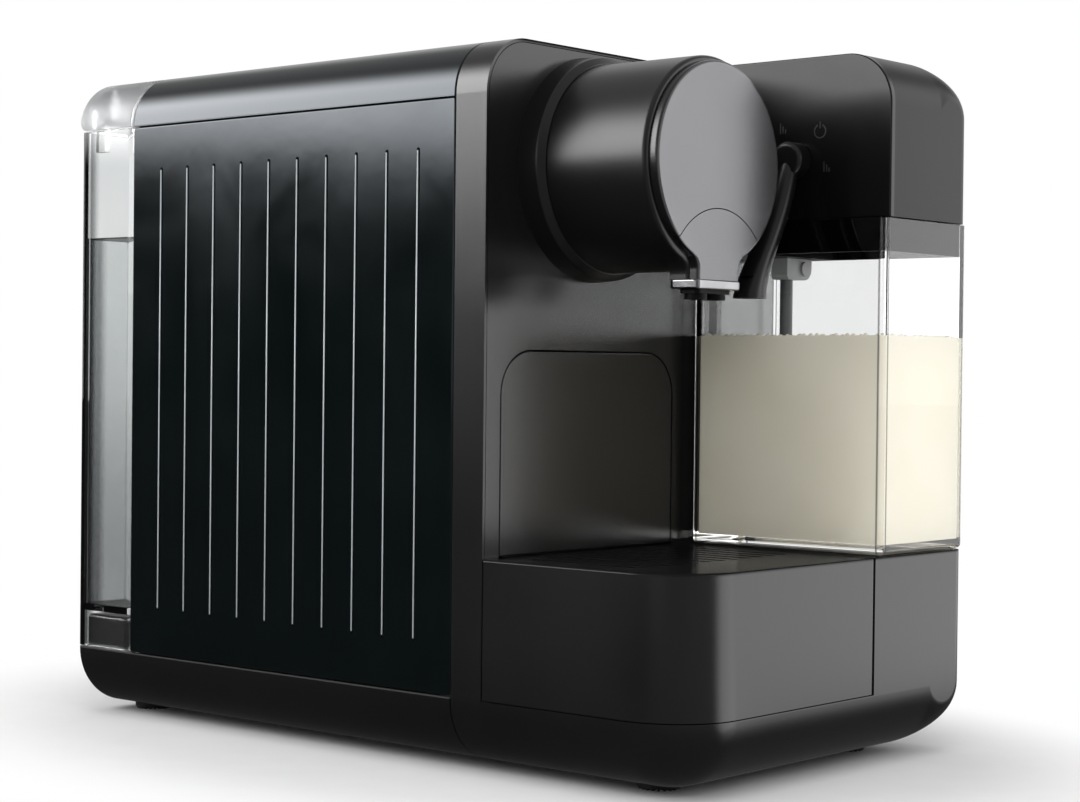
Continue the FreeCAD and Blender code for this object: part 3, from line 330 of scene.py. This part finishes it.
def where(tree):
    """The place on the machine: how far to the right, to the back and up."""
    place = put(tree, "ShaderNodeTexCoord").outputs["Object"]
    return put(tree, "ShaderNodeSeparateXYZ", {0: place}).outputs


def recolour(tree, shader, mask, tint, blend="MIX"):
    """Changes the colour of a shader to a tint where the mask is one."""
    before = shader.inputs["Base Color"].links[0].from_socket
    after = put(
        tree, "ShaderNodeMix", {"Factor": mask, 6: before, 7: tint},
        data_type="RGBA", blend_type=blend,
    ).outputs[2]
    tree.links.new(after, shader.inputs["Base Color"])


def matt_top_painted_sheen(material, height):
    """Makes a material matt from a height upwards, where its parts have a textured top face, and colours
    that top a paler grey as a painted sheen.
    """
    tree = material.node_tree
    shader = tree.nodes["Principled BSDF"]
    fade, dull = 0.0012, 0.008
    matt = rise(tree, where(tree)["Z"], height - fade, height)
    # painted sheen: above the height the colour turns a paler grey, in place of the shine that the matt
    # top loses
    recolour(tree, shader, matt, colour(22, 22, 23))
    shine = shader.inputs["Specular IOR Level"].default_value
    level = reckon(tree, "MULTIPLY_ADD", matt, dull - shine, shine)
    tree.links.new(level, shader.inputs["Specular IOR Level"])


base_black = moulded_plastic(
    "base_black", colour(15, 15, 16), colour(19, 19, 20), 0.17, 0.21, 2600, 0.000015
)
pedestal_top = 0.0800
matt_top_painted_sheen(base_black, pedestal_top)
tree = base_black.node_tree
shader = tree.nodes["Principled BSDF"]
_, backward, up = where(tree)
pan_top = 0.0284
pan_front = -0.062
# painted highlight: a thin paler line along the pan's top edge by the seam, standing in for light caught
# by that edge
painted_edge_highlight = soft_box(
    tree, 1.0, (up, pan_top - 0.0007, pan_top - 0.0004), (up, pan_top + 0.0005, pan_top + 0.0002),
    (backward, pan_front - 0.004, pan_front),
)
recolour(tree, shader, painted_edge_highlight, colour(66, 66, 67))
dress(base_black, "rear_base", "front_base", "tank_stand")


# Four rubber feet under the base: moulded discs with a ring of grip ribs underneath, pressed into the
# pan. The same rubber makes the cord gland, the seals and the pump's mounts.
def start_tree(name, sizes):
    """An empty Geometry Nodes tree that takes places to work on and named sizes."""
    tree = bpy.data.node_groups.new(name, "GeometryNodeTree")
    tree.interface.new_socket("Places", in_out="INPUT", socket_type="NodeSocketGeometry")
    for label, size in sizes.items():
        kind = "NodeSocketInt" if isinstance(size, int) else "NodeSocketFloat"
        tree.interface.new_socket(label, in_out="INPUT", socket_type=kind)
    tree.interface.new_socket("Mesh", in_out="OUTPUT", socket_type="NodeSocketGeometry")
    return tree, put(tree, "NodeGroupInput").outputs


def spot(tree, x, y, z):
    """A vector from three amounts."""
    return put(tree, "ShaderNodeCombineXYZ", {0: x, 1: y, 2: z}).outputs[0]


def shifted(tree, mesh, height):
    """A mesh of the tree moved up."""
    upwards = spot(tree, 0, 0, height)
    return put(tree, "GeometryNodeTransform", {"Geometry": mesh, "Translation": upwards}).outputs[0]


def joined(tree, *meshes):
    """Several meshes of the tree as one."""
    join = put(tree, "GeometryNodeJoinGeometry")
    for mesh in meshes:
        tree.links.new(mesh, join.inputs[0])
    return join.outputs[0]


def grow(name, tree, shape, material, places, sizes, scale=(1.0, 1.0, 1.0)):
    """Sets a shape on every place, gives it a material and keeps the result as a plain mesh."""
    given = tree.nodes["Group Input"].outputs
    spread = put(
        tree, "GeometryNodeInstanceOnPoints",
        {"Points": given["Places"], "Instance": shape, "Scale": scale},
    )
    real = put(tree, "GeometryNodeRealizeInstances", {0: spread.outputs[0]})
    coated = put(tree, "GeometryNodeSetMaterial", {"Geometry": real.outputs[0], "Material": material})
    put(tree, "NodeGroupOutput", {0: coated.outputs[0]})
    start = bpy.data.meshes.new(name)
    start.from_pydata(places, [], [])
    piece = bpy.data.objects.new(name, start)
    scene.collection.objects.link(piece)
    modifier = piece.modifiers.new("grow", "NODES")
    modifier.node_group = tree
    for socket in tree.interface.items_tree:
        if socket.name in sizes:
            modifier[socket.identifier] = sizes[socket.name]
    grown = piece.evaluated_get(bpy.context.evaluated_depsgraph_get())
    mesh = bpy.data.meshes.new_from_object(grown)
    piece.modifiers.remove(modifier)
    piece.data = mesh
    return piece


foot_rubber = moulded_plastic(
    "foot_rubber", colour(18, 18, 18), colour(26, 26, 26), 0.72, 0.85, 1500, 0.00004, 0.3
)
foot_sizes = {"Foot radius": 0.008, "Foot height": 0.003, "Rib height": 0.0008, "Rib count": 20}
tree, given = start_tree("ribbed_foot", foot_sizes)
thick = reckon(tree, "SUBTRACT", given["Foot height"], given["Rib height"])
disc = put(
    tree, "GeometryNodeMeshCylinder", {"Vertices": 48, "Radius": given["Foot radius"], "Depth": thick}
).outputs[0]
disc = shifted(tree, disc, reckon(tree, "MULTIPLY_ADD", thick, 0.5, given["Rib height"]))
rib_ring = put(
    tree, "GeometryNodeMeshCircle",
    {"Vertices": given["Rib count"], "Radius": reckon(tree, "MULTIPLY", given["Foot radius"], 0.68)},
).outputs[0]
rib_long = reckon(tree, "MULTIPLY", given["Foot radius"], 0.5)
rib = put(tree, "GeometryNodeMeshCube", {"Size": spot(tree, rib_long, 0.0008, given["Rib height"])})
outwards = put(
    tree, "FunctionNodeAlignRotationToVector",
    {"Vector": put(tree, "GeometryNodeInputPosition").outputs[0]}, axis="X",
).outputs[0]
ribs = put(
    tree, "GeometryNodeInstanceOnPoints",
    {"Points": rib_ring, "Instance": rib.outputs[0], "Rotation": outwards},
).outputs[0]
ribs = shifted(tree, ribs, reckon(tree, "MULTIPLY", given["Rib height"], 0.5))
foot_places = [(-0.058, -0.128, 0), (0.060, -0.130, 0), (-0.060, 0.150, 0), (0.060, 0.150, 0)]
feet = grow("ribbed_feet", tree, joined(tree, disc, ribs), foot_rubber, foot_places, foot_sizes)
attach(feet, "housing")
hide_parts("rubber_feet")
dress(foot_rubber, "cord_gland", "brew_gasket", "milk_socket", "pump_mounts", "tank_seat")


# The screws that hold the base pan from below: cold-headed steel with a cross recess and a rolled
# thread, sunk in the pan. The pins, the pierce plate and the water lance are steel as well.
def brushed_steel(name, dark, light, smooth, rough, along):
    """Metal with fine lines; along gives the lines per metre in each direction."""
    material, tree, shader = start_material(name)
    place = put(tree, "ShaderNodeTexCoord").outputs["Object"]
    stretched = put(tree, "ShaderNodeMapping", {"Vector": place, "Scale": along}).outputs[0]
    lines = put(
        tree, "ShaderNodeTexNoise", {"Vector": stretched, "Scale": 1.0, "Detail": 3.0}
    ).outputs[0]
    bump = put(tree, "ShaderNodeBump", {"Strength": 0.4, "Distance": 0.00001, "Height": lines})
    tree.links.new(shades(tree, lines, dark, light), shader.inputs["Base Color"])
    tree.links.new(between(tree, lines, smooth, rough), shader.inputs["Roughness"])
    tree.links.new(bump.outputs[0], shader.inputs["Normal"])
    shader.inputs["Metallic"].default_value = 1.0
    return material


screw_steel = brushed_steel(
    "screw_steel", colour(150, 150, 152), colour(190, 190, 192), 0.22, 0.36, (900, 900, 200)
)
screw_sizes = {
    "Head radius": 0.003, "Head height": 0.0012, "Shank radius": 0.0013, "Shank length": 0.008,
    "Recess depth": 0.0007, "Thread radius": 0.0002, "Turns": 9.0,
}
tree, given = start_tree("cross_screw", screw_sizes)
head = put(
    tree, "GeometryNodeMeshCylinder",
    {"Vertices": 32, "Radius": given["Head radius"], "Depth": given["Head height"]},
).outputs[0]
head = shifted(tree, head, reckon(tree, "MULTIPLY", given["Head height"], 0.5))
blade_long = reckon(tree, "MULTIPLY", given["Head radius"], 1.3)
blade_deep = reckon(tree, "MULTIPLY", given["Recess depth"], 2.0)
blade_one = put(tree, "GeometryNodeMeshCube", {"Size": spot(tree, blade_long, 0.0007, blade_deep)})
blade_two = put(tree, "GeometryNodeMeshCube", {"Size": spot(tree, 0.0007, blade_long, blade_deep)})
recess = put(tree, "GeometryNodeMeshBoolean", {"Mesh 1": head}, operation="DIFFERENCE")
tree.links.new(blade_one.outputs[0], recess.inputs["Mesh 2"])
tree.links.new(blade_two.outputs[0], recess.inputs["Mesh 2"])
shank = put(
    tree, "GeometryNodeMeshCylinder",
    {"Vertices": 24, "Radius": given["Shank radius"], "Depth": given["Shank length"]},
).outputs[0]
shank = shifted(
    tree, shank, reckon(tree, "MULTIPLY_ADD", given["Shank length"], 0.5, given["Head height"])
)
winding = put(
    tree, "GeometryNodeCurveSpiral",
    {"Resolution": 20, "Rotations": given["Turns"], "Start Radius": given["Shank radius"],
     "End Radius": given["Shank radius"],
     "Height": reckon(tree, "MULTIPLY", given["Shank length"], 0.9)},
).outputs[0]
ridge = put(
    tree, "GeometryNodeCurvePrimitiveCircle", {"Resolution": 6, "Radius": given["Thread radius"]}
).outputs[0]
thread = put(
    tree, "GeometryNodeCurveToMesh", {"Curve": winding, "Profile Curve": ridge, "Fill Caps": True}
).outputs[0]
thread = shifted(tree, thread, reckon(tree, "MULTIPLY", given["Head height"], 1.2))
screw_places = [(x, y, 0.0034) for y in (-0.030, 0.115) for x in (-0.062, 0.062)]
screw_shape = joined(tree, recess.outputs[0], shank, thread)
screws = grow("cross_screws", tree, screw_shape, screw_steel, screw_places, screw_sizes)
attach(screws, "housing")
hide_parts("base_screws")
dress(screw_steel, "crank_pin", "lid_pins", "pierce_plate", "water_lance")


# The works: pump, flow meter, brew frame and piston in grey glass-filled nylon, a die-cast heater, two
# circuit boards with green solder mask, and silicone hoses between them.
inner_grey = moulded_plastic(
    "inner_grey", colour(60, 62, 64), colour(74, 76, 78), 0.5, 0.6, 1800, 0.00003
)
dress(inner_grey, "inner_deck", "flow_meter", "pump", "brew_frame", "piston", "frother", "tank_valve")
cast_alloy = brushed_steel(
    "cast_alloy", colour(150, 152, 154), colour(182, 184, 186), 0.42, 0.6, (500, 500, 500)
)
dress(cast_alloy, "thermoblock")
board_green = moulded_plastic(
    "board_green", colour(18, 70, 40), colour(26, 90, 52), 0.3, 0.42, 700, 0.00002
)
dress(board_green, "main_board", "touch_board")
hose_silicone = moulded_plastic(
    "hose_silicone", colour(205, 205, 200), colour(225, 225, 220), 0.3, 0.4, 300, 0.00002
)
dress(
    hose_silicone, "inlet_hose", "pump_hose", "pressure_hose", "coffee_duct", "milk_hose", "steam_pipe"
)


# The front frame and the front wall with its bay, and the rear wall that closes the works off from the
# tank: black ABS mouldings with the same fine grain, screwed to the base pan.
wall_black = moulded_plastic(
    "wall_black", colour(16, 16, 17), colour(20, 20, 21), 0.17, 0.21, 2600, 0.000015
)
roof = cad_box[1][2]
matt_top_painted_sheen(wall_black, roof - 0.0004)
dress(wall_black, "front_frame", "front_wall", "rear_wall", "bay_liner")


# The side panels, the top cover and the lever let into it: black ABS from a polished mould, matt on the
# flat of the roof, which is coloured paler there as a painted sheen. Along the rear side of each upright
# groove of the panels runs a thin pale bead, a painted highlight.
def gloss_black(name, dark, light, smooth, rough):
    """Polished plastic with a trace of ripple and of wiping marks."""
    material, tree, shader = start_material(name)
    place = put(tree, "ShaderNodeTexCoord").outputs["Object"]
    ripple = put(
        tree, "ShaderNodeTexNoise", {"Vector": place, "Scale": 160.0, "Detail": 1.0}
    ).outputs[0]
    smears = put(
        tree, "ShaderNodeTexNoise",
        {"Vector": place, "Scale": 22.0, "Detail": 4.0, "Distortion": 0.6},
    ).outputs[0]
    bump = put(tree, "ShaderNodeBump", {"Strength": 0.25, "Distance": 0.00002, "Height": ripple})
    tree.links.new(shades(tree, smears, dark, light), shader.inputs["Base Color"])
    tree.links.new(between(tree, smears, smooth, rough), shader.inputs["Roughness"])
    tree.links.new(bump.outputs[0], shader.inputs["Normal"])
    return material, tree, shader


panel_gloss, tree, shader = gloss_black("panel_gloss", colour(4, 9, 9), colour(6, 12, 12), 0.07, 0.12)
shader.inputs["Specular Tint"].default_value = (0.78, 0.84, 0.92, 1.0)
matt_top_painted_sheen(panel_gloss, roof - 0.0006)
dress(panel_gloss, "top_cover", "lever")

grooved_gloss, tree, shader = gloss_black(
    "grooved_gloss", colour(4, 9, 9), colour(6, 12, 12), 0.07, 0.12
)
shader.inputs["Specular Tint"].default_value = (0.78, 0.84, 0.92, 1.0)
panel_side = cad_box[1][0]
aside = reckon(tree, "ABSOLUTE", where(tree)["X"])
sunk = rise(tree, aside, panel_side - 0.0003, panel_side - 0.0006)
polish = shader.inputs["Roughness"].links[0].from_socket
tree.links.new(reckon(tree, "MULTIPLY_ADD", sunk, 0.6, polish), shader.inputs["Roughness"])
dress(grooved_gloss, "side_panel_left", "side_panel_right")

# painted highlight: pale beads along the rear side of each groove stand in for light caught on the
# groove's edge
painted_groove_highlight = moulded_plastic(
    "painted_groove_highlight", colour(186, 193, 195), colour(204, 210, 212), 0.22, 0.3, 900, 0.00001
)
lip_sizes = {"Lip radius": 0.00028, "Lip length": 0.1824}
tree, given = start_tree("groove_lip", lip_sizes)
bar = put(
    tree, "GeometryNodeMeshCylinder",
    {"Vertices": 10, "Radius": given["Lip radius"], "Depth": given["Lip length"]},
)
bar = put(tree, "GeometryNodeSetShadeSmooth", {"Geometry": bar.outputs[0]}).outputs[0]
groove_count = 10
groove_step = 0.0164
first_groove = -0.0369
groove_middle = 0.1398
lip_side = 0.09072
lip_back = 0.00062
lip_places = [
    (side * lip_side, first_groove + groove_step * step + lip_back, groove_middle)
    for side in (-1, 1) for step in range(groove_count)
]
highlight_beads = grow("painted_highlight_beads", tree, bar, painted_groove_highlight, lip_places, lip_sizes)
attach(highlight_beads, "housing")


# The brew head: a collar on the front wall and a barrel with its neck in satin black, closed by a
# face plate and spout cover with silver-grey lacquer on their front. Behind that front they are coloured
# black, a painted shade for the dark reflection along their rounded rim. The band round the spout is
# chromed.
head_satin = moulded_plastic(
    "head_satin", colour(14, 14, 15), colour(18, 18, 19), 0.28, 0.33, 3000, 0.000015, 0.4
)
dress(head_satin, "brew_barrel", "brew_collar")
dull_black = moulded_plastic(
    "dull_black", colour(12, 12, 13), colour(16, 16, 17), 0.32, 0.38, 2600, 0.000015, 0.06
)
dress(dull_black, "coffee_nozzle")
face_satin = moulded_plastic(
    "face_satin", colour(100, 100, 102), colour(108, 108, 110), 0.21, 0.26, 3000, 0.000015
)
tree = face_satin.node_tree
shader = tree.nodes["Principled BSDF"]
grey_face_edge = -0.1312
grey_front_face = rise(tree, where(tree)["Y"], grey_face_edge, grey_face_edge - 0.0005)
# painted shade: behind the front face the plate and cover are coloured black, for the dark reflection
# along their rounded rim
recolour(tree, shader, reckon(tree, "SUBTRACT", 1.0, grey_front_face), colour(14, 14, 15))
tree.links.new(reckon(tree, "MULTIPLY", grey_front_face, 0.8), shader.inputs["Metallic"])
dress(face_satin, "face_plate", "spout_cover")
band_chrome = brushed_steel(
    "band_chrome", colour(128, 128, 130), colour(146, 146, 148), 0.12, 0.2, (60, 60, 60)
)
dress(band_chrome, "spout_band")


# The milk head: a satin black shell over a plain floor, with the milk arm on its pivot. Its left side
# is a smooth touch panel with three dim marks printed on it.
shell_satin = moulded_plastic(
    "shell_satin", colour(14, 14, 15), colour(18, 18, 19), 0.28, 0.33, 3000, 0.000015, 0.15
)
matt_top_painted_sheen(shell_satin, roof - 0.0004)
dress(shell_satin, "head_shell")
dress(head_satin, "milk_arm")
dress(wall_black, "head_floor")
touch_gloss, tree, shader = gloss_black("touch_gloss", colour(8, 8, 9), colour(11, 11, 12), 0.2, 0.26)
shader.inputs["Specular IOR Level"].default_value = 0.3
dress(touch_gloss, "touch_panel")
mark_grey = moulded_plastic(
    "mark_grey", colour(30, 31, 32), colour(37, 38, 39), 0.3, 0.36, 900, 0.00001
)


def band_outline(middle, radius, half, first, sweep, steps=24):
    """The outline of an arc-shaped band, as points across and up."""
    turns = [math.radians(first + sweep * step / steps) for step in range(steps + 1)]
    outer = [(math.cos(turn) * (radius + half), math.sin(turn) * (radius + half)) for turn in turns]
    inner = [(math.cos(turn) * (radius - half), math.sin(turn) * (radius - half)) for turn in turns]
    return [(middle[0] + y, middle[1] + z) for y, z in outer + inner[::-1]]


def bar_outline(middle, across, up):
    """The outline of an upright bar."""
    y, z = middle
    return [(y - across, z - up), (y + across, z - up), (y + across, z + up), (y - across, z + up)]


mark_front, mark_back = 0.03296, 0.03305
ring_middle = (-0.1328, 0.2430)
ring_bar_middle = (-0.1328, 0.2454)
three_bar_middles = ((-0.1155, 0.2445), (-0.1360, 0.2286))
mark_outlines = [
    band_outline(ring_middle, 0.0026, 0.00025, 115, 310),
    bar_outline(ring_bar_middle, 0.00025, 0.0013),
]
for middle in three_bar_middles:
    mark_outlines.append(bar_outline((middle[0] - 0.0012, middle[1] - 0.0006), 0.0003, 0.0008))
    mark_outlines.append(bar_outline(middle, 0.0003, 0.0014))
    mark_outlines.append(bar_outline((middle[0] + 0.0012, middle[1] + 0.0006), 0.0003, 0.0020))
shape = bmesh.new()
for outline in mark_outlines:
    count = len(outline)
    front = [shape.verts.new((mark_front, y, z)) for y, z in outline]
    back = [shape.verts.new((mark_back, y, z)) for y, z in outline]
    half = count // 2
    for ring in (front, back):
        for step in range(half - 1):
            shape.faces.new(
                (ring[step], ring[step + 1], ring[count - 2 - step], ring[count - 1 - step])
            )
    for step in range(count):
        after = (step + 1) % count
        shape.faces.new((front[step], front[after], back[after], back[step]))
bmesh.ops.recalc_face_normals(shape, faces=shape.faces)
mark_mesh = bpy.data.meshes.new("touch_marks")
shape.to_mesh(mark_mesh)
shape.free()
mark_mesh.materials.append(mark_grey)
touch_marks = bpy.data.objects.new("touch_marks", mark_mesh)
scene.collection.objects.link(touch_marks)
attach(touch_marks, "housing")


# The milk jar: a thick-walled clear moulding with a black lid pressed into its rim, a grey suction pipe
# and its clip. It is about two thirds full of milk, which creeps up a little at the walls and has a rim
# of bubbles there.
def clear_plastic(name, light, dark, smooth, rough, bend):
    """Clear moulded plastic with a faint flow pattern; bend is its refractive index."""
    material, tree, shader = start_material(name)
    place = put(tree, "ShaderNodeTexCoord").outputs["Object"]
    flow = put(
        tree, "ShaderNodeTexNoise", {"Vector": place, "Scale": 18.0, "Detail": 3.0}
    ).outputs[0]
    bump = put(tree, "ShaderNodeBump", {"Strength": 0.1, "Distance": 0.00005, "Height": flow})
    tree.links.new(shades(tree, flow, dark, light), shader.inputs["Base Color"])
    tree.links.new(between(tree, flow, smooth, rough), shader.inputs["Roughness"])
    tree.links.new(bump.outputs[0], shader.inputs["Normal"])
    shader.inputs["Transmission Weight"].default_value = 1.0
    shader.inputs["IOR"].default_value = bend
    return material, tree, shader


def filling(name, low, high, radius, creep):
    """What fills a vessel: rounded upright edges, and a top that stands higher along the walls."""
    shape = bmesh.new()
    bmesh.ops.create_cube(shape, size=1.0)
    for vertex in shape.verts:
        vertex.co = Vector(
            (low[i] + (high[i] - low[i]) * (vertex.co[i] + 0.5) for i in range(3))
        )
    upright = [
        edge for edge in shape.edges
        if (edge.verts[0].co.xy - edge.verts[1].co.xy).length < 1e-7
    ]
    bmesh.ops.bevel(shape, geom=upright, offset=radius, segments=5, affect="EDGES", profile=0.5)
    shape.normal_update()
    top = [face for face in shape.faces if face.normal.z > 0.9]
    for drop in (0.65, 0.35):
        bmesh.ops.inset_region(shape, faces=top, thickness=creep * 1.2, depth=0.0)
        for vertex in {vertex for face in top for vertex in face.verts}:
            vertex.co.z -= creep * drop
    bmesh.ops.recalc_face_normals(shape, faces=shape.faces)
    mesh = bpy.data.meshes.new(name)
    shape.to_mesh(mesh)
    shape.free()
    piece = bpy.data.objects.new(name, mesh)
    scene.collection.objects.link(piece)
    return piece


def painted_corner_line(tree, along, line, outward, face):
    """A painted dark line beside a corner of the jar, on the outer face that lies that far from its
    middle; it stands in for the light bent at the thick corner.
    """
    return soft_box(
        tree, 1.0, (along, line - 0.0006, line - 0.0002), (along, line + 0.0007, line + 0.0002),
        (outward, face - 0.0010, face - 0.0004),
    )


jar_clear, tree, shader = clear_plastic(
    "jar_clear", colour(254, 254, 254), colour(251, 252, 252), 0.0, 0.02, 1.49
)
jar_middle = (0.0605, -0.1195)
jar_half_width = 0.0300
jar_half_depth = 0.0450
jar_corner = 0.0026
right, back, _ = where(tree)
aside = reckon(tree, "ABSOLUTE", reckon(tree, "SUBTRACT", right, jar_middle[0]))
ahead = reckon(tree, "ABSOLUTE", reckon(tree, "SUBTRACT", back, jar_middle[1]))
front_painted_line = painted_corner_line(tree, aside, jar_half_width - jar_corner, ahead, jar_half_depth)
side_painted_line = painted_corner_line(tree, ahead, jar_half_depth - jar_corner, aside, jar_half_width)
# painted shade: dark lines beside the jar's upright corners stand in for the light bent through its
# thick corners
recolour(tree, shader, reckon(tree, "ADD", front_painted_line, side_painted_line), colour(84, 85, 86))
dress(jar_clear, "milk_jar")
nodes["milk_jar"].visible_shadow = False
dress(dull_black, "jar_lid")
pipe_grey = moulded_plastic(
    "pipe_grey", colour(92, 94, 96), colour(104, 106, 108), 0.3, 0.4, 700, 0.00002
)
dress(pipe_grey, "suction_pipe")
clip_pale = moulded_plastic(
    "clip_pale", colour(170, 172, 173), colour(186, 188, 189), 0.3, 0.4, 700, 0.00002
)
dress(clip_pale, "pipe_clip")

milk_white, tree, shader = start_material("milk_white")
place = put(tree, "ShaderNodeTexCoord").outputs["Object"]
cream = put(tree, "ShaderNodeTexNoise", {"Vector": place, "Scale": 30.0, "Detail": 3.0}).outputs[0]
tree.links.new(
    shades(tree, cream, colour(240, 234, 215), colour(244, 239, 223)), shader.inputs["Base Color"]
)
tree.links.new(between(tree, cream, 0.18, 0.26), shader.inputs["Roughness"])
milk_low = Vector((0.0330, -0.1620, 0.0844))
milk_high = Vector((0.0880, -0.0770, 0.164))
milk_fill = filling("milk_fill", milk_low, milk_high, 0.001, 0.0009)
milk_fill.data.materials.append(milk_white)
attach(milk_fill, "jar")

bubble_sizes = {"Bubble radius": 0.0010, "Least share": 0.4}
tree, given = start_tree("milk_bubble", bubble_sizes)
ball = put(
    tree, "GeometryNodeMeshIcoSphere", {"Radius": given["Bubble radius"], "Subdivisions": 3}
).outputs[0]
ball = put(tree, "GeometryNodeSetShadeSmooth", {"Geometry": ball}).outputs[0]
share = put(
    tree, "FunctionNodeRandomValue", {2: given["Least share"], 3: 1.0}, data_type="FLOAT"
).outputs[1]
corner_gap = 0.001
across = milk_high.x - milk_low.x - 2 * corner_gap
deep = milk_high.y - milk_low.y - 2 * corner_gap


def rim_place(along, inset):
    """A place on top of the milk, by the way along its rim and the distance from the wall."""
    if along < across:
        return milk_low.x + corner_gap + along, milk_low.y + inset
    along -= across
    if along < deep:
        return milk_high.x - inset, milk_low.y + corner_gap + along
    along -= deep
    if along < across:
        return milk_high.x - corner_gap - along, milk_high.y - inset
    along -= across
    return milk_low.x + inset, milk_high.y - corner_gap - along


bubble_count = 150
bubble_depth = 0.0001
bubble_places = []
for step in range(bubble_count):
    share_of_rim = (step + 0.4 * math.sin(step * 2.3)) / bubble_count
    inset = 0.00112 + 0.0006 * (1 + math.sin(step * 5.7))
    x, y = rim_place(share_of_rim * 2 * (across + deep), inset)
    bubble_places.append((x, y, milk_high.z - bubble_depth))
bubbles = grow("milk_bubbles", tree, ball, milk_white, bubble_places, bubble_sizes, share)
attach(bubbles, "jar")


# The drawer: drip tray, capsule bin and bin front, moulded in the wall's black ABS, with the slotted
# grille laid on the tray's rim. Tray and grille are matt on top, and coloured paler there as a painted
# sheen.
dress(wall_black, "capsule_bin", "bin_front")
tray_black = moulded_plastic(
    "tray_black", colour(16, 16, 17), colour(20, 20, 21), 0.17, 0.21, 2600, 0.000015
)
tray_top = 0.0800
matt_top_painted_sheen(tray_black, tray_top)
dress(tray_black, "drip_tray", "drip_grille")


# The water tank and its hinged lid: clear SAN mouldings, faintly grey, about three quarters full. The
# water stands a hair inside the walls. Its index is the ratio of the plastic's to that of real water, so
# that its sides mirror as little as where water touches plastic.
def painted_shade_corners(tree, first, full):
    """The upright rear corners of the tank, as a mask that rises from one place to another; it carries
    painted shade there.
    """
    aside, backward, _ = where(tree)
    side = reckon(tree, "ABSOLUTE", aside)
    return soft_box(tree, 1.0, (side, 0.080, 0.084), (backward, first, full))


tank_clear, tree, shader = clear_plastic(
    "tank_clear", colour(247, 248, 248), colour(242, 244, 244), 0.0, 0.03, 1.49
)
# painted shade: the tank's upright rear corners are coloured darker, for the longer path of light
# through the thick corner
recolour(tree, shader, painted_shade_corners(tree, 0.154, 0.159), colour(176, 178, 178))
dress(tank_clear, "water_tank")
lid_smoke, _, _ = clear_plastic(
    "lid_smoke", colour(206, 207, 208), colour(196, 197, 198), 0.3, 0.38, 1.25
)
dress(lid_smoke, "tank_lid")
water_clear, tree, shader = clear_plastic(
    "water_clear", colour(238, 240, 240), colour(234, 237, 237), 0.0, 0.01, 1.12
)
# painted shade: the water is coloured greyer towards the bottom, where less light comes through the
# stand and the base
recolour(tree, shader, rise(tree, where(tree)["Z"], 0.2, 0.06), colour(160, 162, 162))
# painted shade: the water is darkened further at the tank's rear corners
recolour(tree, shader, painted_shade_corners(tree, 0.146, 0.153), colour(104, 106, 107), "MULTIPLY")
water_low = Vector((-0.0883, 0.1333, 0.0466))
water_high = Vector((0.0883, 0.1623, 0.204))
water_fill = filling("water_fill", water_low, water_high, 0.0015, 0.0006)
water_fill.data.materials.append(water_clear)
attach(water_fill, "tank")
for clear_piece in (nodes["water_tank"], nodes["tank_lid"], water_fill):
    clear_piece.visible_shadow = False
